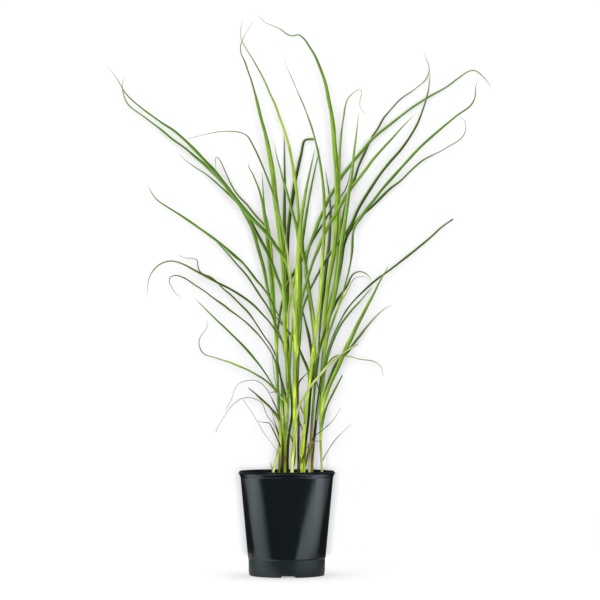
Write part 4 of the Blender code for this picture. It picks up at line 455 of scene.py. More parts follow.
@dataclass
class Growth:
    """One growth of the clump: its drawn line, depth and sizes at even steps from its base.

    A shoot has radii, and a blade or small leaf has widths and turns.  The lean is the
    side, near or far, that a growth prefers, and the give is how much it moves aside.
    """

    name: str
    shoot: int
    route: list
    tint: str
    flat: np.ndarray
    depth: np.ndarray
    end: End = End.FINE
    lean: float = 0.0
    give: float | np.ndarray = 0.0
    radius: np.ndarray | None = None
    width: np.ndarray | None = None
    turn: np.ndarray | None = None
    root: Growth | None = None

    def half_sizes(self) -> tuple[np.ndarray, np.ndarray]:
        """Its sizes as it is drawn.

        Returns:
            Half extents across the drawing and in depth, at each sample.
        """
        if self.radius is not None:
            return self.radius, self.radius
        half = self.width / 2
        fold = BLADE_FOLD * half + BLADE_MIDRIB
        cosine, sine = np.abs(np.cos(self.turn)), np.abs(np.sin(self.turn))
        return half * cosine + fold * sine, half * sine + fold * cosine

    def colours(self, share: np.ndarray) -> np.ndarray:
        """Its colours at some shares of its length.

        Args:
            share: The shares, from 0 at its base.

        Returns:
            A row of red, green and blue for each.
        """
        stops = Tint[self.tint.upper()].value if self.tint.isalpha() else self.tint
        pairs = [stop.split() for stop in stops.split(",")]
        tones = np.array([Tone[tone.upper()].value for tone, _ in pairs])
        marks = [float(mark) for _, mark in pairs]
        return np.column_stack([np.interp(share, marks, part) for part in tones.T])

    def risen(self, height: np.ndarray) -> np.ndarray:
        """Share of its rise at some heights in metres."""
        low, high = self.flat[[0, -1], 1] * CM
        return np.clip((height - low) / (high - low), 0, 1)


def shoot_growth(number: int, row: tuple) -> Growth:
    """The line of one shoot.

    Args:
        number: The shoot's number, from 1.
        row: Its row.

    Returns:
        The growth, with radii.
    """
    low_depth, high_depth, low_radius, high_radius, tint, route = row
    return Growth("shoot_%02d" % number, number, route, tint, smooth_route(route, SAMPLES),
                  (low_depth + (high_depth - low_depth) * SHARES) * CM,
                  radius=(low_radius + (high_radius - low_radius) * SHARES) * MM)


def blade_width(width: float, end: End) -> np.ndarray:
    """Width along a blade: narrower at the base, widest below the middle, then tapering.

    Args:
        width: The blade's greatest width.
        end: How the blade ends.

    Returns:
        The width at each sample.
    """
    base = BASE_WIDTH_SHARE + (1 - BASE_WIDTH_SHARE) * np.minimum(1.0, SHARES / FULL_WIDTH_AT)
    if end == End.CUT:
        return width * base * (1 - (1 - CUT_WIDTH_SHARE) * np.maximum(0, SHARES - CUT_FROM) / (1 - CUT_FROM))
    tip = np.minimum(1.0, (1 - SHARES) / TAPER_SHARE) ** TAPER_POWER
    return np.maximum(TIP_WIDTH, width * base * tip)


def leaf_growth(name: str, shoot: int, root: Growth, tip_depth: float, sweep: float, tint: str,
                route: list, **sizes: object) -> Growth:
    """The line of a blade or small leaf, base first, before it is eased aside.

    Args:
        name: Its name.
        shoot: Its shoot's number.
        root: Its shoot.
        tip_depth: Depth of its tip in metres.
        sweep: How late along it the depth changes.
        tint: Its colours.
        route: Its route from the tip.
        sizes: Other fields of the growth.

    Returns:
        The growth, leaning to the side where its tip is.
    """
    flat = smooth_route(route[::-1], SAMPLES)
    start = float(np.interp(flat[0, 1], root.flat[:, 1], root.depth))
    return Growth(name, shoot, route[::-1], tint, flat, start + (tip_depth - start) * SHARES ** sweep,
                  lean=math.copysign(1.0, tip_depth - start), **sizes)


def blade_growth(number: int, row: tuple, shoots: list[Growth]) -> Growth:
    """The line of one blade.

    Args:
        number: The blade's number, from 1.
        row: Its row.
        shoots: The shoots, in order.

    Returns:
        The growth, with widths and turns.
    """
    shoot, tip_depth, width, turn_base, turn_tip, tint, end, route = row
    made = leaf_growth("leaf_%02d" % number, shoot, shoots[shoot - 1], tip_depth * CM, BLADE_SWEEP, tint,
                       route, end=End(end), give=BLADE_GIVE, width=blade_width(width * MM, End(end)),
                       turn=np.radians(turn_base + (turn_tip - turn_base) * SHARES))
    if number in FAR_SIDE:
        made.lean = 1.0
    return made


def small_growth(row: tuple, shoots: list[Growth]) -> Growth:
    """The line of one small leaf, which starts inside its shoot.

    Args:
        row: Its row.
        shoots: The shoots, in order.

    Returns:
        The growth, with widths and turns.
    """
    shoot, tip_depth, width, turn, tint, route = row
    root = shoots[shoot - 1]
    taper = np.minimum(1, (1 - SHARES) / TAPER_SHARE) ** SMALL_TAPER_POWER
    made = leaf_growth("small_leaf", shoot, root, tip_depth * CM, SMALL_SWEEP, tint, route,
                       give=BLADE_GIVE * np.clip((SHARES - SMALL_HELD) / SMALL_FREED_OVER, 0, 1),
                       width=np.maximum(TIP_WIDTH, width * MM * taper),
                       turn=np.full(SAMPLES, math.radians(turn)))
    made.lean *= SMALL_LEAN
    made.root = root
    return made


def close_pairs(growths: list[Growth]) -> list[tuple]:
    """Samples of different growths that lie over each other as drawn, for each pair.

    Args:
        growths: All the growths.

    Returns:
        Rows of two growths and their samples' numbers.
    """
    pairs = []
    for one, two in itertools.combinations(growths, 2):
        if two.root is one or (one.radius is not None and two.radius is not None):
            continue
        apart = np.linalg.norm((one.flat[:, None] - two.flat[None]) * CM, axis=2)
        close = apart < one.half_sizes()[0][:, None] + two.half_sizes()[0][None] + CLEAR_ACROSS
        if close.any():
            pairs.append((one, two, *np.nonzero(close)))
    return pairs


def eased(values: np.ndarray, reach: int) -> np.ndarray:
    """Spread values along a growth over a reach of samples, so that they stay smooth."""
    kernel = np.hanning(2 * reach + 3)[1:-1]
    return np.convolve(np.pad(values, reach, mode="edge"), kernel / kernel.sum(), mode="valid")


def settle(growths: list[Growth]) -> None:
    """Ease blades apart in depth until none touches another growth.

    Args:
        growths: All the growths, whose depths are changed.
    """
    pairs = close_pairs(growths)
    for _ in range(SETTLE_ROUNDS):
        moved = False
        for one, two, at_one, at_two in pairs:
            apart = two.depth[at_two] - one.depth[at_one]
            order = apart.mean() + (two.lean - one.lean) * LEAN_BIAS
            side = 1.0 if order >= 0 else -1.0
            need = one.half_sizes()[1][at_one] + two.half_sizes()[1][at_two] + CLEAR_AWAY
            short = np.maximum(0.0, need - side * apart)
            if short.max() < TOUCH:
                continue
            moved = True
            for growth, at, way in ((one, at_one, -side), (two, at_two, side)):
                amount = np.zeros(SAMPLES)
                np.maximum.at(amount, at, short)
                growth.depth = growth.depth + way * growth.give * eased(amount, EASE_SAMPLES)
        if not moved:
            break


# -------- node trees

class Graph:
    """A node tree while it is wired, with a short call for each kind of node."""

    def __init__(self, tree: bpy.types.NodeTree) -> None:
        """Start wiring a tree."""
        self.tree = tree

    def add(self, kind: str, values: dict[str | int, object] | None = None,
            **settings: object) -> bpy.types.Node:
        """Add a node.

        Args:
            kind: The node's type.
            values: What each input gets.
            settings: The node's properties.

        Returns:
            The node.
        """
        node = self.tree.nodes.new(kind)
        for key, value in settings.items():
            setattr(node, key, value)
        self.give(node, values or {})
        return node

    def give(self, node: bpy.types.Node, values: dict[str | int, object]) -> None:
        """Give a node's inputs a link from an output, or a value of their own.

        Args:
            node: The node.
            values: An output or a value for each input; None leaves it as it is.
        """
        for key, value in values.items():
            if isinstance(value, bpy.types.NodeSocket):
                self.tree.links.new(value, node.inputs[key])
            elif value is not None:
                node.inputs[key].default_value = value

    def math(self, operation: str, *values: object) -> bpy.types.NodeSocket:
        """The result of a Math node on sockets or numbers."""
        return self.add("ShaderNodeMath", dict(enumerate(values)), operation=operation).outputs[0]

    def times(self, *values: object) -> bpy.types.NodeSocket:
        """The product of sockets or numbers."""
        return functools.reduce(lambda one, two: self.math("MULTIPLY", one, two), values)

    def plus(self, *values: object) -> bpy.types.NodeSocket:
        """The sum of sockets or numbers."""
        return functools.reduce(lambda one, two: self.math("ADD", one, two), values)

    def minus(self, one: object, two: object) -> bpy.types.NodeSocket:
        """The first less the second."""
        return self.math("SUBTRACT", one, two)

    def vector(self, operation: str, one: object, two: object = None,
               scale: object = None) -> bpy.types.NodeSocket:
        """The vector that a Vector Math node gives."""
        return self.add("ShaderNodeVectorMath", {0: one, 1: two, "Scale": scale},
                        operation=operation).outputs[0]

    def parts(self, vector: object) -> list[bpy.types.NodeSocket]:
        """The three parts of a vector."""
        return list(self.add("ShaderNodeSeparateXYZ", {0: vector}).outputs)

    def join(self, *parts: object) -> bpy.types.NodeSocket:
        """A vector from its three parts."""
        return self.add("ShaderNodeCombineXYZ", dict(enumerate(parts))).outputs[0]

    def ramp(self, value: object, low: float, high: float, to_low: float = 0.0,
             to_high: float = 1.0) -> bpy.types.NodeSocket:
        """Map a value softly, so that low gives to_low and high gives to_high."""
        return self.add("ShaderNodeMapRange", dict(enumerate((value, low, high, to_low, to_high))),
                        interpolation_type="SMOOTHSTEP").outputs[0]

    def blend(self, share: object, one: object, two: object, how: str = "MIX") -> bpy.types.NodeSocket:
        """Mix two colours.

        Args:
            share: How much of the second colour there is.
            one: The first colour, a socket or its own value.
            two: The second colour, or a Tone.
            how: The blend type.

        Returns:
            The mixed colour.
        """
        node = self.add("ShaderNodeMix", data_type="RGBA", blend_type=how)
        second = (*two.value, 1.0) if isinstance(two, Tone) else two
        places = [place for place, socket in enumerate(node.inputs) if socket.enabled]
        self.give(node, dict(zip(places, (share, one, second))))
        return next(socket for socket in node.outputs if socket.enabled)

    def noise(self, place: object, scale: float, detail: float = 2.0,
              rough: float = 0.5) -> bpy.types.NodeSocket:
        """Noise from 0 to 1 at a place."""
        return self.add("ShaderNodeTexNoise", {"Vector": place, "Scale": scale, "Detail": detail,
                                               "Roughness": rough}).outputs[0]

    def seat(self) -> bpy.types.NodeSocket:
        """A point's place on the whole object."""
        return self.add("ShaderNodeTexCoord").outputs["Object"]

    def seen(self, ray: str) -> bpy.types.NodeSocket:
        """Whether a ray of a kind, Camera or Glossy, looks at the surface."""
        return self.add("ShaderNodeLightPath").outputs["Is %s Ray" % ray]

    def bump(self, shader: bpy.types.Node, height: object, strength: float, distance: float) -> None:
        """Roughen a shader's surface by a height."""
        node = self.add("ShaderNodeBump", {"Height": height, "Strength": strength, "Distance": distance})
        self.give(shader, {"Normal": node.outputs[0]})


def sockets(tree: bpy.types.NodeTree, inputs: dict[str, str], outputs: dict[str, str]) -> None:
    """Give a tree named inputs and outputs.

    Args:
        tree: The tree.
        inputs: The kind of each input, such as Float.
        outputs: The kind of each output.
    """
    for way, wanted in (("INPUT", inputs), ("OUTPUT", outputs)):
        for name, kind in wanted.items():
            tree.interface.new_socket(name=name, in_out=way, socket_type="NodeSocket" + kind)


def linked(name: str, data: bpy.types.ID) -> bpy.types.Object:
    """A new object in the scene.

    Args:
        name: Its name.
        data: Its mesh, lamp or camera.

    Returns:
        The object.
    """
    piece = bpy.data.objects.new(name, data)
    bpy.context.scene.collection.objects.link(piece)
    return piece


def evaluated(piece: bpy.types.Object) -> bpy.types.Mesh:
    """The mesh that a piece's modifiers give, which are then removed.

    Args:
        piece: The piece, which keeps its old mesh.

    Returns:
        The new mesh.
    """
    bpy.context.view_layer.update()
    result = piece.evaluated_get(bpy.context.evaluated_depsgraph_get())
    made = bpy.data.meshes.new_from_object(result)
    piece.modifiers.clear()
    return made


def skinned(name: str, rings: list[list[tuple]]) -> bpy.types.Mesh:
    """A closed mesh between rings of points; a ring of one point closes an end.

    Args:
        name: The mesh's name.
        rings: The rings in order, each as long as the others or of one point.

    Returns:
        The mesh, with its faces outwards.
    """
    body = bmesh.new()
    sides = max(len(ring) for ring in rings)
    rows = [[body.verts.new(point) for point in ring] for ring in rings]
    rows = [row * sides if len(row) == 1 else row for row in rows]
    for low, high in zip(rows, rows[1:]):
        for side in range(sides):
            after = (side + 1) % sides
            body.faces.new(list(dict.fromkeys((low[side], low[after], high[after], high[side]))))
    bmesh.ops.recalc_face_normals(body, faces=body.faces)
    mesh = bpy.data.meshes.new(name)
    body.to_mesh(mesh)
    body.free()
    return mesh


class PieceTree:
    """A Geometry Nodes tree with named inputs that makes a piece in its finish."""

    name = "piece"
    inputs: dict[str, str] = {}

    def __init__(self) -> None:
        """Build the tree."""
        self.tree = bpy.data.node_groups.new(self.name, "GeometryNodeTree")
        self.graph = Graph(self.tree)
        sockets(self.tree, {"Source": "Geometry", **self.inputs, "Finish": "Material"}, {"Piece": "Geometry"})
        self.given = self.graph.add("NodeGroupInput").outputs
        whole = self.graph.add("GeometryNodeRealizeInstances", {0: self.wire()})
        dressed = self.graph.add("GeometryNodeSetMaterial", {
            "Geometry": whole.outputs[0], "Material": self.given["Finish"]})
        self.graph.add("NodeGroupOutput", {0: dressed.outputs[0]})

    def wire(self) -> bpy.types.NodeSocket:
        """The geometry before it is dressed."""
        raise NotImplementedError

    def grow(self, name: str, mesh: bpy.types.Mesh, inputs: dict[str, object]) -> bpy.types.Object:
        """Run the tree on a mesh and keep the result as a plain piece.

        Args:
            name: The piece's name.
            mesh: What the tree reads.
            inputs: A value for each named input.

        Returns:
            An object whose mesh is the result, with no modifier.
        """
        piece = linked(name, mesh)
        step = piece.modifiers.new("grow", "NODES")
        step.node_group = self.tree
        for item in self.tree.interface.items_tree:
            if item.in_out == "INPUT" and item.name in inputs:
                step[item.identifier] = inputs[item.name]
        piece.data = evaluated(piece)
        bpy.data.meshes.remove(mesh)
        piece.data.name = name
        return piece


# -------- skins along a spine

@dataclass
class Spine:
    """What a skin tree reads at each sample of a growth's line, in metres and radians."""

    centre: np.ndarray
    side: np.ndarray
    upper: np.ndarray
    half: np.ndarray
    thick: np.ndarray
    curl: np.ndarray
    fold: np.ndarray
    ripple: np.ndarray
    tint: np.ndarray

    def mesh(self, name: str) -> bpy.types.Mesh:
        """A mesh of the samples, each size an attribute, with an end of no size at both ends.

        Args:
            name: The mesh's name.

        Returns:
            The mesh, one vertex for each sample.
        """
        count = len(self.centre)
        order = np.concatenate([[0], np.arange(count), [count - 1]])
        rows = {key: value[order] for key, value in vars(self).items()}
        for key in ("half", "thick", "ripple"):
            rows[key][[0, -1]] = 0.0
        centre = rows.pop("centre")
        made = bpy.data.meshes.new(name)
        made.from_pydata([tuple(point) for point in centre], [], [])
        rows["along"] = distances(centre)
        rows["share"] = rows["along"] / rows["along"][-1]
        rows["tint"] = np.column_stack([rows["tint"], np.ones(len(centre))])
        for key, value in rows.items():
            kind, field_name = {1: ("FLOAT", "value"), 3: ("FLOAT_VECTOR", "vector"),
                                4: ("FLOAT_COLOR", "color")}[value[0].size]
            layer = made.attributes.new(key, kind, "POINT")
            layer.data.foreach_set(field_name, value.astype(np.float32).ravel())
        return made


class SkinTree(PieceTree):
    """A Geometry Nodes tree that lofts a closed skin along a spine."""

    def read(self, name: str, index: bpy.types.NodeSocket, kind: str = "FLOAT") -> bpy.types.NodeSocket:
        """A spine attribute at a sample.

        Args:
            name: The attribute, or position.
            index: The sample's number.
            kind: Its data type.

        Returns:
            The value there.
        """
        if name == "position":
            source = self.graph.add("GeometryNodeInputPosition")
        else:
            source = self.graph.add("GeometryNodeInputNamedAttribute", {"Name": name}, data_type=kind)
        return self.graph.add("GeometryNodeSampleIndex", {
            "Geometry": self.given["Source"], "Value": source.outputs[0], "Index": index},
            data_type=kind, domain="POINT").outputs[0]

    def store(self, geometry: bpy.types.NodeSocket, name: str, value: bpy.types.NodeSocket,
              kind: str = "FLOAT") -> bpy.types.NodeSocket:
        """Keep a value on the skin's points under a name."""
        return self.graph.add("GeometryNodeStoreNamedAttribute", {
            "Geometry": geometry, "Name": name, "Value": value}, data_type=kind, domain="POINT").outputs[0]

    def wire(self) -> bpy.types.NodeSocket:
        """Lay a grid over the spine: rows are samples, and columns go round the section.

        Returns:
            The skin, closed at both ends.
        """
        graph = self.graph
        count = graph.add("GeometryNodeAttributeDomainSize", {0: self.given["Source"]},
                          component="MESH").outputs[0]
        grid = graph.add("GeometryNodeMeshGrid", {
            "Vertices X": count, "Vertices Y": graph.plus(self.given["Around"], 1.0)}).outputs[0]
        place = graph.parts(graph.add("GeometryNodeInputPosition").outputs[0])
        row = graph.math("ROUND", graph.times(graph.plus(place[0], 0.5), graph.minus(count, 1.0)))
        across, up, mark, face = self.section(row, graph.plus(place[1], 0.5))
        side = graph.vector("SCALE", self.read("side", row, "FLOAT_VECTOR"), scale=across)
        upper = graph.vector("SCALE", self.read("upper", row, "FLOAT_VECTOR"), scale=up)
        centre = self.read("position", row, "FLOAT_VECTOR")
        skin = self.store(grid, "skin", graph.join(mark, self.read("along", row), face), "FLOAT_VECTOR")
        skin = self.store(skin, "share", self.read("share", row))
        skin = self.store(skin, "tint", self.read("tint", row, "FLOAT_COLOR"), "FLOAT_COLOR")
        placed = graph.add("GeometryNodeSetPosition", {
            "Geometry": skin, "Position": graph.vector("ADD", centre, graph.vector("ADD", side, upper))})
        return graph.add("GeometryNodeMergeByDistance", {
            "Geometry": placed.outputs[0], "Distance": MERGE_DISTANCE}).outputs[0]

    def section(self, row: bpy.types.NodeSocket, around: bpy.types.NodeSocket) -> tuple:
        """Where a point of the section lies: across and up, and its two marks for the finish."""
        raise NotImplementedError


class BladeTree(SkinTree):
    """Skin of a grass blade: a thin lens that curls, folds along its midrib and ripples."""

    name = "grass_blade"
    inputs = {"Around": "Int", "Midrib": "Float", "Groove": "Float"}
    rib_reach = 0.34
    full_thickness = 0.45 * MM
    valley_power = 1.3

    def section(self, row: bpy.types.NodeSocket, around: bpy.types.NodeSocket) -> tuple:
        """The blade's section.

        Args:
            row: The sample's number.
            around: Place round the section, from 0 to 1, beginning at one edge.

        Returns:
            Distance across, distance up, place across from -1 to 1, and how far the
            point is on the upper face, from -1 to 1.
        """
        graph = self.graph
        half, thick, curl, fold, ripple = [
            self.read(key, row) for key in ("half", "thick", "curl", "fold", "ripple")]
        turn = graph.times(around, -2 * math.pi)
        place = graph.times(graph.math("COSINE", turn), -1.0)
        face = graph.math("SINE", turn)
        wide = graph.math("ABSOLUTE", place)
        middle = graph.ramp(wide, 0.0, self.rib_reach, 1.0, 0.0)
        below = graph.math("LESS_THAN", face, 0.0)
        rib = graph.times(middle, below, self.given["Midrib"])
        dip = graph.times(middle, graph.minus(1.0, below), self.given["Groove"])
        extra = graph.times(graph.plus(rib, dip), graph.math("DIVIDE", thick, self.full_thickness))
        rise = graph.minus(graph.times(face, 0.5, thick), extra)
        bend = graph.times(place, curl)
        sine = graph.math("SINE", bend)
        cosine = graph.math("COSINE", bend)
        reach = graph.math("DIVIDE", half, curl)
        across = graph.minus(graph.times(reach, sine), graph.times(rise, sine))
        arch = graph.times(reach, graph.minus(1.0, cosine))
        valley = graph.times(half, fold, graph.math("POWER", wide, self.valley_power))
        wave = graph.times(place, wide, ripple)
        up = graph.plus(graph.plus(arch, graph.times(rise, cosine)), graph.plus(valley, wave))
        return across, up, place, face


class ShootTree(SkinTree):
    """Skin of a shoot: a round stem with the lip of its wrapped leaf sheath."""

    name = "grass_shoot"
    inputs = {"Around": "Int", "Lip": "Float", "Lip Place": "Float"}
    lip_reach = 0.35
    full_lip_half = 1.5 * MM

    def section(self, row: bpy.types.NodeSocket, around: bpy.types.NodeSocket) -> tuple:
        """The shoot's section.

        Args:
            row: The sample's number.
            around: Place round the section, from 0 to 1.

        Returns:
            Distance across, distance up, place round from -1 to 1, and 1 for the outside.
        """
        graph = self.graph
        half = self.read("half", row)
        shifted = graph.math("FRACT", graph.plus(
            around, graph.plus(self.given["Lip Place"], self.read("ripple", row))))
        lip = graph.times(graph.ramp(shifted, 0.0, self.lip_reach, 1.0, 0.0), self.given["Lip"])
        shown = graph.math("MINIMUM", 1.0, graph.math("DIVIDE", half, self.full_lip_half))
        reach = graph.plus(half, graph.times(lip, shown))
        turn = graph.times(around, 2 * math.pi)
        return (graph.times(reach, graph.math("COSINE", turn)), graph.times(reach, graph.math("SINE", turn)),
                graph.minus(graph.times(shifted, 2.0), 1.0), 1.0)


# -------- finishes

def veins_group() -> bpy.types.NodeTree:
    """Parallel veins of a grass leaf, as a group: fine streaks along it and soft blotches.

    Returns:
        The group, with Place, Along and Lines in, and Streak and Blotch out.
    """
    tree = bpy.data.node_groups.new("parallel_veins", "ShaderNodeTree")
    sockets(tree, dict.fromkeys(("Place", "Along", "Lines"), "Float"),
            dict.fromkeys(("Streak", "Blotch"), "Float"))
    graph = Graph(tree)
    place, along, lines = list(graph.add("NodeGroupInput").outputs)[:3]
    drift = graph.noise(graph.seat(), 24.0, 1.0)
    fine = graph.join(graph.times(place, lines), graph.times(along, 9.0), graph.times(drift, 3.0))
    broad = graph.join(graph.times(place, 1.3), graph.times(along, 42.0), drift)
    graph.add("NodeGroupOutput", {"Streak": graph.noise(fine, 1.0, 3.0, 0.6),
                                  "Blotch": graph.noise(broad, 1.0, 4.0, 0.55)})
    return tree


def fresh_material(name: str) -> tuple[bpy.types.Material, Graph, bpy.types.Node]:
    """A new material.

    Args:
        name: Its name.

    Returns:
        The material, its graph and its Principled shader.
    """
    made = bpy.data.materials.new(name)
    made.use_nodes = True
    return made, Graph(made.node_tree), made.node_tree.nodes["Principled BSDF"]


@dataclass(frozen=True)
class LeafFinish:
    """Surface of a blade or a shoot: parallel veins, a pale midrib, margins and spots.

    Light and shade are painted across it: one half is darker, as painted shade, and a
    pale band along the other edge is partly its margin and partly painted highlight.
    """

    name: str
    lines: float = 9.0
    midrib: float = 0.16
    # Pale band along the lit edge: partly the leaf's margin, partly painted highlight.
    margin: float = 0.80
    far_margin: float = 0.40
    # Painted shade: how much darker one half of the width is, as if turned from the light.
    shade: float = 0.42
    streaks: float = 0.30
    blotches: float = 0.35
    spots: float = 0.25
    underside: float = 0.12
    roughness: float = 0.42
    relief: float = 0.12 * MM
    glow: float = 0.08

    def make(self, veins: bpy.types.NodeTree) -> bpy.types.Material:
        """Build the material.

        Args:
            veins: The group of parallel veins.

        Returns:
            The material.
        """
        made, graph, shader = fresh_material(self.name)
        skin = graph.add("ShaderNodeAttribute", attribute_name="skin").outputs["Vector"]
        place, along, face = graph.parts(skin)
        wide = graph.math("ABSOLUTE", place)
        streak, blotch = graph.add("ShaderNodeGroup", node_tree=veins).outputs
        graph.give(streak.node, {"Place": place, "Along": along, "Lines": self.lines})
        # Vein streaks and blotches of tone, times painted light and shade across the width: the half at
        # negative place 6% lighter, the other half darker by shade.
        shade = graph.times(graph.ramp(streak, 0.32, 0.68, 1 - self.streaks, 1 + self.streaks),
                            graph.ramp(blotch, 0.3, 0.7, 1 - self.blotches, 1 + self.blotches),
                            graph.ramp(place, 0.05, 0.5, 1.06, 1 - self.shade))
        tint = graph.add("ShaderNodeAttribute", attribute_name="tint").outputs["Color"]
        colour = graph.blend(1.0, tint, graph.join(shade, shade, shade), "MULTIPLY")
        spot = graph.noise(graph.seat(), 210.0, 3.0, 0.7)
        # Pale midrib, pale band on the lit edge (partly margin, partly painted highlight), pale far edge,
        # paler underside and rust spots.
        for value, low, high, most, tone in (
                (wide, 0.17, 0.06, self.midrib, Tone.CREAM), (place, -0.4, -0.66, self.margin, Tone.PALE),
                (place, 0.78, 0.92, self.far_margin, Tone.LIME), (face, 0.1, -0.3, self.underside, Tone.PALE),
                (spot, 0.66, 0.74, self.spots, Tone.RUST)):
            colour = graph.blend(graph.times(graph.ramp(value, low, high), most), colour, tone)
        graph.give(shader, {
            "Base Color": colour,
            "Roughness": graph.ramp(blotch, 0.3, 0.7, self.roughness - 0.08, self.roughness + 0.12),
            "Specular IOR Level": 0.22, "Specular Tint": (0.85, 1.0, 0.35, 1.0),
            "Subsurface Weight": self.glow, "Subsurface Radius": (0.6, 1.0, 0.2),
            "Subsurface Scale": 1.5 * MM})
        graph.bump(shader, streak, 0.6, self.relief)
        return made


@dataclass(frozen=True)
class PotFinish:
    """Black moulded plastic, slightly blue: a satin wall, and a duller band round the foot."""

    name: str = "pot_plastic"
    colour: tuple = (0.0035, 0.0050, 0.0065, 1.0)
    band_colour: tuple = (0.0075, 0.010, 0.012, 1.0)
    tint: tuple = (0.76, 0.93, 1.0, 1.0)
    roughness: float = 0.15
    band_roughness: float = 0.33
    scuffs: float = 0.07

    def make(self) -> bpy.types.Material:
        """Build the material.

        Returns:
            The material.
        """
        made, graph, shader = fresh_material(self.name)
        x, y, z = graph.parts(graph.seat())
        wall = graph.join(graph.times(graph.math("ARCTAN2", y, x), 0.07), z, 0.0)
        scuff = graph.noise(graph.vector("MULTIPLY", wall, (1.0, 0.22, 1.0)), 160.0, 5.0, 0.65)
        band = graph.ramp(z, 31.2 * MM, 30.6 * MM)
        graph.give(shader, {
            "Base Color": graph.blend(band, self.colour, self.band_colour),
            "Roughness": graph.plus(graph.ramp(band, 0.0, 1.0, self.roughness, self.band_roughness),
                                    graph.ramp(scuff, 0.45, 0.8, 0.0, self.scuffs)),
            "Specular Tint": self.tint})
        graph.bump(shader, graph.noise(wall, 900.0, 4.0, 0.7), 0.12, 0.03 * MM)
        return made


@dataclass(frozen=True)
class SoilFinish:
    """Moist potting mix: dark crumbs with reddish bark among them."""

    name: str = "potting_mix"
    dark: tuple = (0.030, 0.016, 0.010, 1.0)
    light: tuple = (0.17, 0.075, 0.035, 1.0)

    def make(self) -> bpy.types.Material:
        """Build the material.

        Returns:
            The material.
        """
        made, graph, shader = fresh_material(self.name)
        seat = graph.seat()
        crumbs = graph.ramp(graph.noise(seat, 190.0, 5.0, 0.65), 0.38, 0.66)
        graph.give(shader, {"Base Color": graph.blend(crumbs, self.dark, self.light), "Roughness": 0.92})
        graph.bump(shader, graph.noise(seat, 700.0, 4.0, 0.7), 0.8, 0.6 * MM)
        return made


# -------- pieces

def soft(value: np.ndarray | float) -> np.ndarray | float:
    """A soft step from 0 to 1."""
    kept = np.clip(value, 0.0, 1.0)
    return kept * kept * (3 - 2 * kept)


def unit(rows: np.ndarray) -> np.ndarray:
    """Rows made one long."""
    return rows / np.linalg.norm(rows, axis=1)[:, None]


def directions(line: np.ndarray) -> tuple[np.ndarray, np.ndarray, np.ndarray]:
    """Unit directions at each point of a line.

    Args:
        line: The points.

    Returns:
        Along the line, level across it, and away behind it.
    """
    along = unit(np.gradient(line, axis=0))
    across = unit(np.column_stack([along[:, 2], np.zeros(len(line)), -along[:, 0]]))
    return along, across, np.cross(along, across)


def columns(place: np.ndarray | float, known: np.ndarray, rows: np.ndarray) -> np.ndarray:
    """Rows read between known places, a column at a time."""
    return np.stack([np.interp(place, known, column) for column in rows.T], axis=-1)


def wander(seed: int, length: np.ndarray, wave: float) -> np.ndarray:
    """A smooth random value along a line, about -1 to 1.

    Args:
        seed: Its fixed seed.
        length: Distance of each sample along the line.
        wave: Typical length of a swing.

    Returns:
        A value for each sample.
    """
    random = np.random.default_rng(seed)
    total = np.zeros(len(length))
    for _ in range(4):
        pitch = wave * random.uniform(0.6, 1.7)
        total += np.sin(2 * math.pi * length / pitch + random.uniform(0, 2 * math.pi))
    return total / 2.5


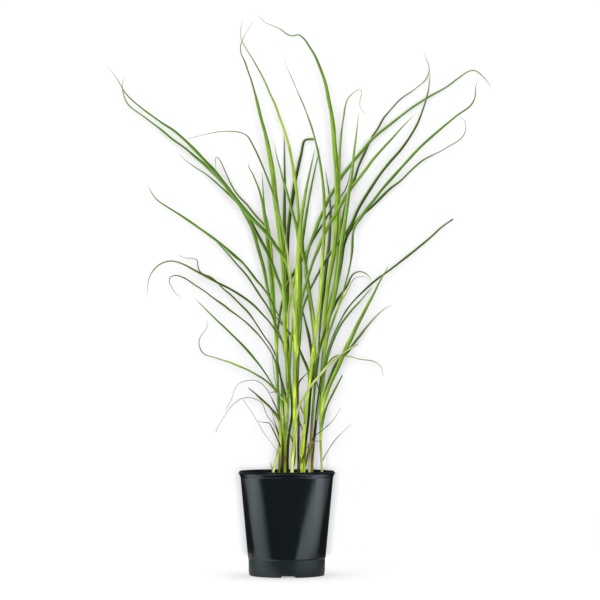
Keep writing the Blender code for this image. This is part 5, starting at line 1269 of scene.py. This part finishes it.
@dataclass
class Blades:
    """The long arching blades, each hugging its shoot at its base.

    From its foot up, a blade is a sheath closed on its shoot, then hugs the shoot, and
    is then free, with a valley along its middle, ripples and swells.  Its colour turns
    from the shoot's to its own over a short run.
    """

    step: float = 3.5 * MM
    thickness: float = 0.5 * MM
    tip_thickness: float = 0.22 * MM
    small_thickness: float = 0.35 * MM
    least_half: float = 0.12 * MM
    midrib: float = 0.35 * MM
    groove: float = 0.12 * MM
    around: int = 20
    hug: float = 55 * MM
    hug_curl: float = 1.05
    hug_width: float = 0.25
    sheath_curl: float = 2.1
    sheath_gap: float = 0.3 * MM
    soil_clear: float = 4 * MM
    foot_least: float = 12 * MM
    foot_most: float = 50 * MM
    foot_slope: float = 4.0
    dye_from: float = -5 * MM
    dye_over: float = 20 * MM
    small_curl: float = 0.9
    free_curl: float = 0.05
    least_curl: float = 0.02
    dead_roll: float = 1.2
    roll_from: float = 0.55
    roll_over: float = 0.35
    valley: float = 0.30
    valley_change: float = 0.4
    valley_wave: float = 120 * MM
    ripple: float = 0.10
    ripple_wave: float = 60 * MM
    small_ripple: float = 0.12
    small_wave: float = 30 * MM
    swell: float = 0.03
    swell_wave: float = 70 * MM
    tip_share: float = 0.03
    tree: BladeTree = field(default_factory=BladeTree)

    def drawn(self, growth: Growth) -> tuple[np.ndarray, np.ndarray]:
        """The line of a leaf in space at fine even steps.

        Args:
            growth: The leaf.

        Returns:
            The points, and each point's share of the length.
        """
        count = max(16, round(distances(growth.flat * CM)[-1] / self.step))
        share = np.linspace(0, 1, count)
        depth = eased(np.interp(share, SHARES, growth.depth), max(1, round(1.5 * count / SAMPLES)))
        return at_depth(smooth_route(growth.route, count), depth), share

    def foot(self, start: np.ndarray, root: Growth) -> tuple[np.ndarray, np.ndarray, float]:
        """The run below a blade's base, where its sheath closes on the shoot.

        Args:
            start: The blade's first point.
            root: Its shoot.

        Returns:
            The points from the low end up, the direction away from the shoot, and the
            shoot's radius.
        """
        axis = at_depth(root.flat, root.depth)
        low = axis[0, 2] + self.soil_clear
        top = min(start[2], axis[-1, 2])
        radius = float(np.interp(top, axis[:, 2], root.radius))
        apart = start - columns(top, axis[:, 2], axis)
        apart[2] = 0.0
        reach = float(np.linalg.norm(apart))
        out = apart / max(reach, 1e-6)
        run = min(max(self.foot_least, self.foot_slope * (reach - radius)), self.foot_most,
                  max(self.soil_clear, start[2] - low))
        share = np.linspace(1, 0, max(6, round(run / (0.6 * self.step))), endpoint=False)
        near = radius + self.sheath_gap
        points = columns(start[2] - share * run, axis[:, 2], axis)
        points += out * (near + (reach - near) * soft(1 - share))[:, None]
        points[:, 2] = start[2] - share * run
        return points, out, radius

    def spine(self, growth: Growth, root: Growth, seed: int) -> Spine:
        """The spine of a blade with its foot.

        Args:
            growth: The blade.
            root: Its shoot.
            seed: Seed of its ripples.

        Returns:
            The spine.
        """
        line, share = self.drawn(growth)
        foot, out, radius = self.foot(line[0], root)
        low = len(foot)
        centre = np.vstack([foot, line])
        along, across, away = directions(centre)
        own = np.concatenate([np.zeros(low), share])
        turn = np.interp(own, SHARES, growth.turn)[:, None]
        drawn = np.cos(turn) * across + np.sin(turn) * away
        hugging = unit(np.cross(along, out[None]))
        hugging *= np.sign((hugging * drawn).sum(1))[low]
        length = distances(centre)
        length -= length[low]
        free = soft(length / min(self.hug, 0.5 * length[-1]))
        side = hugging * (1 - free)[:, None] + drawn * free[:, None]
        side = unit(side - (side * along).sum(1)[:, None] * along)
        upper = np.cross(side, along)
        inward = 1.0 if float(upper[low] @ -out) > 0 else -1.0
        closing = np.zeros(len(centre))
        closing[:low] = soft(np.linspace(1, 0, low, endpoint=False))
        curl = self.hug_curl + (self.sheath_curl - self.hug_curl) * closing
        curl = curl * (1 - free) + self.free_curl * free
        gutter = np.interp(own, SHARES, growth.width) / 2 * (1 + self.hug_width * (1 - free))
        half = gutter + (self.sheath_curl * (radius + self.sheath_gap) - gutter) * closing
        length -= length[0]
        half *= 1 + self.swell * wander(seed, length, self.swell_wave)
        thick = self.thickness + (self.tip_thickness - self.thickness) * own ** 1.5
        if growth.end != End.CUT:
            ending = np.minimum(1.0, (1 - own) / self.tip_share)
            half = np.maximum(self.least_half, half * (0.25 + 0.75 * ending))
            thick = thick * (0.5 + 0.5 * ending)
        curl = inward * np.maximum(self.least_curl, curl)
        if growth.end == End.DEAD:
            curl = curl + self.dead_roll * soft((own - self.roll_from) / self.roll_over)
        dyed = soft((length - length[low] - self.dye_from) / self.dye_over)[:, None]
        valley = self.valley * (1 + self.valley_change * wander(seed + 1, length, self.valley_wave))
        ripple = self.ripple * wander(seed + 2, length, self.ripple_wave)
        return Spine(centre, side, upper, half, np.minimum(thick, half), curl,
                     valley * free * (1 - 0.6 * own), ripple * half * free,
                     root.colours(root.risen(centre[:, 2])) * (1 - dyed) + growth.colours(own) * dyed)

    def small_spine(self, growth: Growth, seed: int) -> Spine:
        """The spine of a small leaf, which starts inside its shoot.

        Args:
            growth: The small leaf.
            seed: Seed of its ripples.

        Returns:
            The spine.
        """
        line, share = self.drawn(growth)
        along, across, away = directions(line)
        turn = growth.turn[0]
        side = math.cos(turn) * across + math.sin(turn) * away
        half = np.interp(share, SHARES, growth.width) / 2
        ripple = self.small_ripple * half * wander(seed, distances(line), self.small_wave)
        return Spine(line, side, np.cross(side, along), half, np.minimum(self.small_thickness, half),
                     np.full(len(line), self.small_curl), np.zeros(len(line)), ripple, growth.colours(share))

    def grow(self, name: str, spine: Spine, finish: bpy.types.Material) -> bpy.types.Object:
        """Loft a blade's skin."""
        return self.tree.grow(name, spine.mesh(name), {
            "Around": self.around, "Midrib": self.midrib, "Groove": self.groove, "Finish": finish})


@dataclass
class Shoots:
    """The upright stems, wrapped in their leaf sheaths."""

    step: float = 2.5 * MM
    around: int = 24
    lip: float = 0.35 * MM
    sheath_step: float = 0.25 * MM
    sheath_fade: float = 1.5 * MM
    swell: float = 0.02
    swell_wave: float = 40 * MM
    twist: float = 0.12
    twist_wave: float = 160 * MM
    taper: float = 9 * MM
    top: float = 0.3 * MM
    lip_turn: float = 0.37
    tree: ShootTree = field(default_factory=ShootTree)

    def spine(self, growth: Growth, collars: list[float], seed: int) -> Spine:
        """The spine of a shoot from its foot in the soil.

        Args:
            growth: The shoot.
            collars: Heights where a sheath ends and its blade leaves.
            seed: Seed of its unevenness.

        Returns:
            The spine.
        """
        flat = np.vstack([growth.flat[0] - [0, PLANTING_DEPTH / CM], growth.flat])
        line = at_depth(flat, np.concatenate([growth.depth[:1], growth.depth]))
        length = distances(line)
        marks = np.linspace(0, length[-1], max(12, round(length[-1] / self.step)))
        centre = columns(marks, length, line)
        half = np.interp(marks, length, np.concatenate([growth.radius[:1], growth.radius]))
        for height in collars:
            bare = soft((centre[:, 2] - height) / self.sheath_fade)
            half = half - self.sheath_step * bare / len(collars)
        half *= 1 + self.swell * wander(seed, marks, self.swell_wave)
        half *= np.sqrt(np.clip((marks[-1] - marks + self.top) / self.taper, 0.02, 1.0))
        _, across, away = directions(centre)
        none = np.zeros(len(centre))
        return Spine(centre, across, -away, half, half, none + 1.0, none,
                     self.twist * wander(seed + 1, marks, self.twist_wave),
                     growth.colours(growth.risen(centre[:, 2])))

    def grow(self, growth: Growth, collars: list[float], finish: bpy.types.Material) -> bpy.types.Object:
        """Loft a shoot's skin.

        Args:
            growth: The shoot.
            collars: Heights where a sheath ends and its blade leaves.
            finish: Its material.

        Returns:
            The piece.
        """
        name = "culm_%02d" % growth.shoot
        return self.tree.grow(name, self.spine(growth, collars, SHOOT_SEED + growth.shoot).mesh(name), {
            "Around": self.around, "Lip": self.lip, "Lip Place": growth.shoot * self.lip_turn % 1.0,
            "Finish": finish})


def joined(pieces: list[bpy.types.Object]) -> bpy.types.Object:
    """Join pieces into the first.

    Args:
        pieces: The pieces, of which the others are used up.

    Returns:
        The first piece.
    """
    if len(pieces) > 1:
        with bpy.context.temp_override(active_object=pieces[0], object=pieces[0],
                                       selected_editable_objects=pieces, selected_objects=pieces):
            bpy.ops.object.join()
    return pieces[0]


def keep(piece: bpy.types.Object, degrees: float, node: str) -> None:
    """Shade a finished piece smooth and put it in place of its CAD node.

    Args:
        piece: The finished piece.
        degrees: The angle up to which it is shaded smooth.
        node: The node that it replaces.
    """
    piece.data.shade_smooth()
    piece.data.set_sharp_from_angle(angle=math.radians(degrees))
    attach(piece, BODY)
    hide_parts(node)
    LOG.info("%s in place of %s, %d faces", piece.name, node, len(piece.data.polygons))


@dataclass
class Clump:
    """The whole plant: shoots with their small leaves, and blades."""

    blades: Blades = field(default_factory=Blades)
    shoots: Shoots = field(default_factory=Shoots)
    soft_angle: float = 50.0
    green_tints: tuple = (Tint.LIME, Tint.LUSH, Tint.SHADE)

    def lines(self) -> tuple[list[Growth], list[Growth], list[Growth]]:
        """The lines of the clump, eased clear of each other.

        Returns:
            The shoots, the blades and the small leaves.
        """
        shoots = [shoot_growth(number, row) for number, row in enumerate(SHOOTS, 1)]
        blades = [blade_growth(number, row, shoots) for number, row in enumerate(BLADES, 1)]
        small = [small_growth(row, shoots) for row in SMALL_LEAVES]
        settle(shoots + small + blades)
        return shoots, blades, small

    def build(self, slots: dict[str, str]) -> None:
        """Make every piece of the plant.

        Args:
            slots: The material slot of each node, from the record; not used.
        """
        veins = veins_group()
        leaf = LeafFinish("grass_leaf").make(veins)
        stem = LeafFinish("grass_stem", lines=5.0, midrib=0.0, margin=0.0, underside=0.0,
                          streaks=0.3, blotches=0.35, spots=0.35, roughness=0.36).make(veins)
        dry = LeafFinish("withered_leaf", midrib=0.1, margin=0.0, underside=0.0, streaks=0.5,
                         blotches=0.5, spots=0.6, roughness=0.7, glow=0.02).make(veins)
        shoots, blades, small = self.lines()
        for shoot in shoots:
            collars = [blade.flat[0, 1] * CM for blade in blades if blade.shoot == shoot.shoot]
            parts = [self.shoots.grow(shoot, collars, stem)]
            for index, growth in enumerate(small):
                if growth.root is shoot:
                    spine = self.blades.small_spine(growth, SMALL_SEED + index)
                    skin = leaf if Tint[growth.tint.upper()] in self.green_tints else dry
                    parts.append(self.blades.grow("small_%02d" % index, spine, skin))
            keep(joined(parts), self.soft_angle, shoot.name)
        for number, blade in enumerate(blades, 1):
            spine = self.blades.spine(blade, shoots[blade.shoot - 1], BLADE_SEED + 10 * number)
            keep(self.blades.grow("blade_%02d" % number, spine, leaf), self.soft_angle, blade.name)


@dataclass
class Pot:
    """The deep round nursery pot: rolled rim, plain band, tapered wall, lower band and foot."""

    rim: float = 85 * MM
    height: float = 181 * MM
    shoulder: float = 80.9 * MM
    shoulder_height: float = 171 * MM
    band_top: float = 67.6 * MM
    band_height: float = 31 * MM
    foot: float = 66.2 * MM
    wall: float = 1.5 * MM
    centre_foot: float = 34 * MM
    channel: float = 9 * MM
    bead: float = 1.1 * MM
    lip: float = 1.0 * MM
    sides: int = 144
    soft_angle: float = 38.0
    notches: int = 4
    first_notch: float = math.radians(-86.5)
    drain: float = 4.5 * MM
    notch_outline: tuple = ((-13, -2), (13, -2), (13, 0), (0.5, 7), (-12.5, 7), (-13, 0))

    def profile(self) -> list[tuple[float, float]]:
        """Outer face from the foot's centre to the rim, then the inner face back down.

        Returns:
            Points of (radius, height).
        """
        lower = self.band_top - 0.7 * MM
        skirt = self.foot - self.wall
        points = []
        # A radius and a height, and how far out and up from there each point lies (mm).
        for radius, height, shifts in (
                (0, 0, ((0, 0),)),
                (self.centre_foot, 0, ((-1, 0), (0, 0.3))),
                (self.centre_foot, self.channel - self.wall, ((5, 0),)),
                (skirt, self.channel - self.wall, ((-2, 0),)),
                (skirt, 0, ((-0.2, 0.6), (0.1, 0))),
                (self.foot, 0, ((-1.3, 0), (-0.6, 0.3), (-0.2, 0.9), (0, 2))),
                (lower, self.band_height, ((-0.1, -2.2), (0.1, -1.4))),
                (self.band_top, self.band_height, ((-0.2, -0.5), (0.05, 0.4))),
                (self.shoulder, self.shoulder_height, ((-0.1, -1), (0.1, 0))),
                (self.rim, self.shoulder_height, ((-3, 0.7), (-2.7, 1.2))),
                (self.rim, self.height, ((-2.3, -5.8), (-2.1, -5.3)))):
            points += [(radius + out * MM, height + up * MM) for out, up in shifts]
        for step in range(9):
            turn = math.pi * (step / 8 - 0.5)
            points.append((self.rim - self.bead + self.bead * math.cos(turn),
                           self.height - 4 * MM + self.bead * math.sin(turn)))
        points += [(self.rim - 1.9 * MM, self.height - 2.6 * MM),
                   (self.rim - 2.0 * MM, self.height - 1.4 * MM)]
        for step in range(9):
            turn = math.pi * step / 8
            points.append((self.rim - 3.0 * MM + self.lip * math.cos(turn),
                           self.height - self.lip + self.lip * math.sin(turn)))
        return points + [(self.rim - 4.4 * MM, self.height - 2 * MM),
                         (self.shoulder - self.wall, self.shoulder_height - 1 * MM),
                         (lower - self.wall, self.band_height),
                         (skirt, self.channel + 1 * MM), (self.foot - 3 * self.wall, self.channel),
                         (self.centre_foot + 4 * MM, self.channel),
                         (self.centre_foot - 1 * MM, self.wall), (0.0, self.wall)]

    def braced(self) -> list[tuple[float, float]]:
        """The profile with a ring near both ends of each long straight run, which keeps it flat.

        Returns:
            The points.
        """
        points = self.profile()
        made = points[:1]
        for start, end in zip(points, points[1:]):
            length = math.dist(start, end)
            if length > 3 * MM and min(start[0], end[0]) > 0:
                for share in (0.6 * MM / length, 1 - 0.6 * MM / length):
                    made.append(tuple(one + share * (two - one) for one, two in zip(start, end)))
            made.append(end)
        return made

    def lathe(self, name: str) -> bpy.types.Object:
        """Turn the profile about the pot's axis.

        Args:
            name: The piece's name.

        Returns:
            The piece.
        """
        turns = [2 * math.pi * side / self.sides for side in range(self.sides)]
        rings = [[(radius * math.cos(turn), radius * math.sin(turn), height) for turn in turns]
                 if radius else [(0, 0, height)] for radius, height in self.braced()]
        return linked(name, skinned(name, rings))

    def notch(self, index: int) -> bpy.types.Object:
        """A wedge that cuts one drainage notch through the skirt.

        Args:
            index: The notch's number, from 0.

        Returns:
            The wedge.
        """
        angle = self.first_notch + 2 * math.pi * index / self.notches
        cosine, sine = math.cos(angle), math.sin(angle)
        middle, near, far = [(0, 2)], self.foot - 6 * MM, self.foot + 6 * MM
        return linked("notch", skinned("notch", [
            [(cosine * reach - sine * place * MM, sine * reach + cosine * place * MM, up * MM)
             for place, up in outline] for outline, reach in (
                 (middle, near), (self.notch_outline, near), (self.notch_outline, far), (middle, far))]))

    def drain_hole(self, index: int) -> bpy.types.Object:
        """A short cylinder that cuts one drain hole through the raised channel.

        Args:
            index: The hole's number, from 0.

        Returns:
            The cylinder.
        """
        angle = self.first_notch + 2 * math.pi * (index + 0.5) / self.notches
        reach = (self.centre_foot + self.foot) / 2 + 2 * MM
        bpy.ops.mesh.primitive_cylinder_add(
            vertices=32, radius=self.drain, depth=12 * MM,
            location=(reach * math.cos(angle), reach * math.sin(angle), self.channel))
        return bpy.context.object

    def build(self, slots: dict[str, str]) -> None:
        """Make the pot, with its notches and drain holes cut.

        Args:
            slots: The material slot of each node; not used.
        """
        piece = self.lathe("nursery_pot")
        cutters = [make(index) for make in (self.notch, self.drain_hole) for index in range(self.notches)]
        for cutter in cutters:
            step = piece.modifiers.new("cut", "BOOLEAN")
            step.object = cutter
            step.solver = "EXACT"
        piece.data = evaluated(piece)
        for cutter in cutters:
            bpy.data.objects.remove(cutter)
        piece.data.materials.clear()
        piece.data.materials.append(PotFinish().make())
        keep(piece, self.soft_angle, "pot")


class CrumbTree(PieceTree):
    """A Geometry Nodes tree that strews crumbs and bark over the top of the soil."""

    name = "crumbs"
    inputs = {"Density": "Float", "Size": "Float", "Level": "Float", "Seed": "Int"}

    def wire(self) -> bpy.types.NodeSocket:
        """Strew the crumbs over the faces that look up.

        Returns:
            The soil with its crumbs.
        """
        graph, given = self.graph, self.given
        normal = graph.parts(graph.add("GeometryNodeInputNormal").outputs[0])
        height = graph.parts(graph.add("GeometryNodeInputPosition").outputs[0])
        top = graph.times(graph.math("GREATER_THAN", normal[2], 0.5),
                          graph.math("GREATER_THAN", height[2], given["Level"]))
        strewn = graph.add("GeometryNodeDistributePointsOnFaces", {
            "Mesh": given["Source"], "Selection": top, "Density": given["Density"],
            "Seed": given["Seed"]}, distribute_method="RANDOM")
        crumb = graph.add("GeometryNodeMeshIcoSphere", {"Radius": 0.5, "Subdivisions": 1})
        turn = graph.add("FunctionNodeRandomValue", {"Max": (6.28, 6.28, 6.28), "Seed": given["Seed"]},
                         data_type="FLOAT_VECTOR")
        shape = graph.add("FunctionNodeRandomValue", {
            "Min": (0.35, 0.3, 0.25), "Max": (2.0, 1.0, 0.7), "Seed": graph.plus(given["Seed"], 1.0)},
            data_type="FLOAT_VECTOR")
        placed = graph.add("GeometryNodeInstanceOnPoints", {
            "Points": strewn.outputs["Points"], "Instance": crumb.outputs[0], "Rotation": turn.outputs[0],
            "Scale": graph.vector("SCALE", shape.outputs[0], scale=given["Size"])})
        both = graph.add("GeometryNodeJoinGeometry", {0: given["Source"]})
        graph.give(both, {0: placed.outputs[0]})
        return both.outputs[0]


@dataclass
class Soil:
    """The potting mix that fills the pot, mounded under the clump and strewn with crumbs."""

    level: float = 168 * MM
    mound: float = 8.5 * MM
    mound_radius: float = 62 * MM
    mound_centre: tuple = (0.018, 0.0)
    gap: float = 0.3 * MM
    rings: int = 40
    sides: int = 96
    crumbs: float = 90000.0
    crumb_size: float = 3.2 * MM
    crumbs_above: float = 160 * MM
    crumb_seed: int = 7
    lump: float = 0.8 * MM
    fine_lump: float = 0.5 * MM
    soft_angle: float = 40.0

    def height(self, across: float, away: float) -> float:
        """Height of the soil at a place in plan.

        Args:
            across: How far right of the pot's axis it is.
            away: How far behind the axis it is.

        Returns:
            The height, with its mound and lumps.
        """
        reach = math.hypot(across - self.mound_centre[0], away - self.mound_centre[1]) / self.mound_radius
        mound = self.mound * max(0.0, 1 - reach * reach) ** 1.5
        lumps = self.lump * math.sin(240 * across + 1.0) * math.sin(210 * away + 0.5)
        fine = math.sin(900 * across + 2 * math.sin(500 * away)) * math.sin(1050 * away + 1.0)
        return self.level + mound + lumps + self.fine_lump * fine

    def build(self, pot: Pot, slots: dict[str, str]) -> None:
        """Make the soil.

        Args:
            pot: The pot that it fills.
            slots: The material slot of each node; not used.
        """
        share = (self.level - pot.band_height) / (pot.shoulder_height - pot.band_height)
        edge = pot.band_top + share * (pot.shoulder - pot.band_top) - pot.wall - 0.8 * MM
        shape = [(pot.centre_foot - 1.6 * MM, pot.wall + self.gap),
                 (pot.centre_foot + 3 * MM, pot.channel + self.gap),
                 (pot.foot - 3 * pot.wall, pot.channel + self.gap),
                 (pot.band_top - 2 * pot.wall - 1 * MM, pot.band_height)]
        circle = [(math.cos(2 * math.pi * side / self.sides), math.sin(2 * math.pi * side / self.sides))
                  for side in range(self.sides)]
        rings = [[(0, 0, pot.wall + self.gap)]]
        rings += [[(radius * x, radius * y, up) for x, y in circle] for radius, up in shape]
        for reach in [edge * ring / self.rings for ring in range(self.rings, 0, -1)]:
            rings.append([(reach * x, reach * y, self.height(reach * x, reach * y)) for x, y in circle])
        rings.append([(0, 0, self.height(0, 0))])
        piece = CrumbTree().grow("soil_bed", skinned("soil_bed", rings), {
            "Density": self.crumbs, "Size": self.crumb_size, "Level": self.crumbs_above,
            "Seed": self.crumb_seed, "Finish": SoilFinish().make()})
        keep(piece, self.soft_angle, "soil")


# -------- studio

@dataclass(frozen=True)
class Glow:
    """How bright the table looks in the glossy wall, on one side of the pot.

    It turns about a point that lies a shift before the pot's axis.  It fades in from dark
    to full in front, and fades to least at the end behind, and its strength runs from
    first to last between a near and a far distance.
    """

    shift: float
    dark: float
    full: float
    end: float
    least: float
    near: float
    far: float
    first: float
    last: float
    closest: float = 0.02

    def wire(self, graph: Graph, side: bpy.types.NodeSocket,
             away: bpy.types.NodeSocket) -> bpy.types.NodeSocket:
        """The brightness on this side, and none on the other.

        Args:
            graph: The floor's nodes.
            side: Distance to this side.
            away: Distance behind the pot.

        Returns:
            The brightness.
        """
        reach = graph.math("MAXIMUM", side, self.closest)
        turn = graph.math("DIVIDE", graph.plus(away, self.shift), reach)
        return graph.times(graph.ramp(turn, self.dark, self.full),
                           graph.ramp(turn, 0.0, self.end, 1.0, self.least),
                           graph.ramp(reach, self.near, self.far, self.first, self.last),
                           graph.math("GREATER_THAN", side, 0.0))


@dataclass(frozen=True)
class Lamp:
    """A soft square lamp that looks at a point of the plant."""

    name: str
    place: tuple
    size: float
    power: float
    aim: tuple = (0, 0, 0.5)
    mirrored: bool = True

    def build(self) -> None:
        """Hang the lamp."""
        data = bpy.data.lights.new(self.name, "AREA")
        data.size = self.size
        data.energy = self.power
        lamp = linked(self.name, data)
        lamp.location = self.place
        lamp.rotation_euler = (Vector(self.aim) - Vector(self.place)).to_track_quat("-Z", "Y").to_euler()
        lamp.visible_glossy = self.mirrored


def staged(name: str, points: list[tuple], faces: list[tuple],
           finish: bpy.types.Material) -> bpy.types.Object:
    """A sheet of the studio, which isn't part of the object.

    Args:
        name: Its name.
        points: Its points.
        faces: The points' numbers round each face.
        finish: Its finish.

    Returns:
        The sheet.
    """
    mesh = bpy.data.meshes.new(name)
    mesh.from_pydata(points, [], faces)
    mesh.materials.append(finish)
    piece = linked(name, mesh)
    return piece


def hide(piece: bpy.types.Object, *rays: str) -> None:
    """Keep a sheet out of sight of some kinds of ray, and from casting a shadow."""
    for ray in ("shadow", "transmission", *rays):
        setattr(piece, "visible_" + ray, False)


def white(graph: Graph, base: float, extra: float) -> bpy.types.NodeSocket:
    """A strength that is higher where the camera looks straight at it."""
    return graph.plus(graph.times(graph.seen("Camera"), extra), base)


@dataclass
class Studio:
    """The pale floor, soft lights, the dark cards that a glossy wall mirrors, and the camera."""

    lens: float = 137.317
    pitch: float = math.radians(2.135)
    floor_half: float = 12.0
    card_height: float = 0.8 * MM
    drop_half: float = 1.2
    drop_bend: float = 0.02
    drop_height: float = 1.8
    drop_place: float = 0.26
    drop_foot: float = 0.5 * MM
    bend_steps: int = 12
    floor_white: tuple = (0.78, 0.78, 0.78, 1)
    drop_white: tuple = (0.575, 0.575, 0.58, 1)
    floor_light: tuple = (0.20, 0.17)
    sky_light: tuple = (0.36, 0.67)
    sky_dimmed: float = 0.28
    drop_light: float = 0.36
    drop_fade: float = 0.022
    far_from: float = 0.7
    far_to: float = 3.0
    far_glow: float = 0.45
    glow_right: Glow = Glow(0.16, -9.0, -8.0, 0.7, 0.16, 0.12, 0.8, 2.1, 2.9)
    glow_left: Glow = Glow(0.08, -0.75, -0.15, 0.7, 0.34, 0.2, 1.0, 1.55, 2.3)
    lamps: tuple = (Lamp("front", (0.023, -4.02, 0.36), 0.42, 200, (0, 0, 0.48), mirrored=False),
                    Lamp("key", (-2.2, -2.4, 2.6), 1.6, 20), Lamp("fill", (2.4, -2.2, 2.0), 1.6, 13),
                    Lamp("top", (0.0, 0.6, 3.2), 2.0, 40))
    front_right: tuple = ((0, -0.068), (0.02, -0.08), (0.039, -0.126), (0.072, -0.171), (0.108, -0.214),
                          (0.152, -0.237), (0.21, -0.292), (0.387, -0.342), (0.669, -0.341),
                          (0.877, -0.243), (1.3, -0.26), (3.9, -0.9), (3.9, -3.6))
    front_left: tuple = ((-0.02, -0.08), (-0.046, -0.124), (-0.106, -0.152), (-0.158, -0.19),
                         (-0.195, -0.209), (-0.28, -0.252), (-0.422, -0.31), (-0.673, -0.34),
                         (-0.835, -0.313), (-1.3, -0.28), (-3.9, -1.1), (-3.9, -3.6))
    back_right: tuple = ((0, 0.4), (0.19, 0.16), (0.235, 0), (0.269, -0.006), (0.331, 0.045),
                         (0.446, 0.08), (0.642, 0.227), (0.926, 0.623), (1.079, 0.868), (1.4, 1.6),
                         (1.8, 3), (3.5, 9))
    back_left: tuple = ((-0.2, 0.3), (-0.25, 0.19), (-0.258, 0.05), (-0.277, 0.036), (-0.333, 0.05),
                        (-0.454, 0.134), (-0.647, 0.277), (-0.936, 0.506), (-1.136, 0.845),
                        (-1.4, 1.6), (-1.8, 3), (-3.5, 9))

    def camera(self) -> None:
        """Place the camera at the photograph's eye."""
        data = bpy.data.cameras.new("camera")
        data.lens = self.lens
        data.clip_end = 50
        eye = linked("camera", data)
        eye.location = tuple(EYE)
        eye.rotation_euler = (math.pi / 2 + self.pitch, 0, 0)
        bpy.context.scene.camera = eye

    def card(self, name: str, right: tuple, left: tuple) -> None:
        """A black sheet that only reflections see: the unlit room round the table.

        Args:
            name: Its name.
            right: Outline of its right half.
            left: Outline of its left half, from the same end.
        """
        made, graph, shader = fresh_material(name)
        graph.give(shader, {"Base Color": (0.01, 0.01, 0.01, 1), "Roughness": 1.0})
        outline = [(x, y, self.card_height) for x, y in (*right, *reversed(left))]
        hide(staged(name, outline, [tuple(range(len(outline)))], made), "camera", "diffuse")

    def backdrop(self) -> None:
        """A white sheet close behind the plant, which takes its soft shadow and is clear from behind."""
        made, graph, shader = fresh_material("white_paper")
        low = graph.ramp(graph.parts(graph.seat())[2], 0.0, self.drop_fade, 1.0, 0.0)
        backs = graph.add("ShaderNodeNewGeometry").outputs["Backfacing"]
        graph.give(shader, {
            "Base Color": graph.blend(low, self.drop_white, self.floor_white),
            "Emission Color": (1, 1, 1, 1), "Emission Strength": graph.times(low, self.drop_light),
            "Alpha": graph.minus(1.0, backs), "Roughness": 1.0, "Specular IOR Level": 0.0})
        bend = self.drop_bend
        profile = [(self.drop_place - bend + bend * math.sin(turn),
                    bend * (1 - math.cos(turn)) + self.drop_foot)
                   for turn in np.linspace(0, math.pi / 2, self.bend_steps)]
        profile.append((self.drop_place, self.drop_height))
        points = [(side * self.drop_half, y, z) for y, z in profile for side in (-1, 1)]
        piece = staged("backdrop", points, [(row, row + 1, row + 3, row + 2)
                                            for row in range(0, len(points) - 2, 2)], made)
        piece.data.shade_smooth()
        hide(piece, "diffuse", "glossy")

    def floor(self) -> None:
        """The pale floor, black in the glossy wall but for the glow on each side of the pot."""
        made, graph, shader = fresh_material("pale_floor")
        mirrored = graph.seen("Glossy")
        across, away, _ = graph.parts(graph.seat())
        mirror = graph.plus(self.glow_right.wire(graph, across, away),
                            self.glow_left.wire(graph, graph.times(across, -1.0), away))
        reach = graph.math("POWER", graph.plus(graph.times(across, across), graph.times(away, away)), 0.5)
        distant = graph.times(graph.seen("Camera"),
                              graph.ramp(reach, self.far_from, self.far_to, 0.0, self.far_glow))
        direct = graph.plus(white(graph, *self.floor_light), distant)
        graph.give(shader, {
            "Base Color": graph.blend(mirrored, self.floor_white, (0.0, 0.0, 0.0, 1)),
            "Roughness": 0.9, "Specular IOR Level": 0.0, "Emission Color": (1, 1, 1, 1),
            "Emission Strength": graph.plus(graph.times(direct, graph.minus(1.0, mirrored)),
                                            graph.times(mirror, mirrored))})
        half = self.floor_half
        staged("floor", [(-half, -half, 0.0), (half, -half, 0.0), (half, half, 0.0), (-half, half, 0.0)],
               [(0, 1, 2, 3)], made)

    def sky(self) -> None:
        """The white room."""
        world = bpy.data.worlds.new("white")
        bpy.context.scene.world = world
        world.use_nodes = True
        graph = Graph(world.node_tree)
        graph.give(world.node_tree.nodes["Background"], {
            "Color": (1, 1, 1, 1),
            "Strength": graph.minus(white(graph, *self.sky_light),
                                    graph.times(graph.seen("Glossy"), self.sky_dimmed))})

    def build(self) -> None:
        """Set everything up."""
        self.floor()
        self.backdrop()
        self.card("dark_room_front", self.front_right, self.front_left)
        self.card("dark_room_back", self.back_right, self.back_left)
        for lamp in self.lamps:
            lamp.build()
        self.sky()
        self.camera()
        bpy.context.scene.view_settings.view_transform = "Standard"


def main() -> None:
    """Dress the frame and set up the studio."""
    logging.basicConfig(level=logging.INFO, format="%(name)s: %(message)s")
    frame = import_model()
    slots = {row["node"]: row["material_slot"] for row in frame["record"]["subparts"]}
    pot = Pot()
    pot.build(slots)
    Soil().build(pot, slots)
    Clump().build(slots)
    Studio().build()


if __name__ == "__main__":
    main()
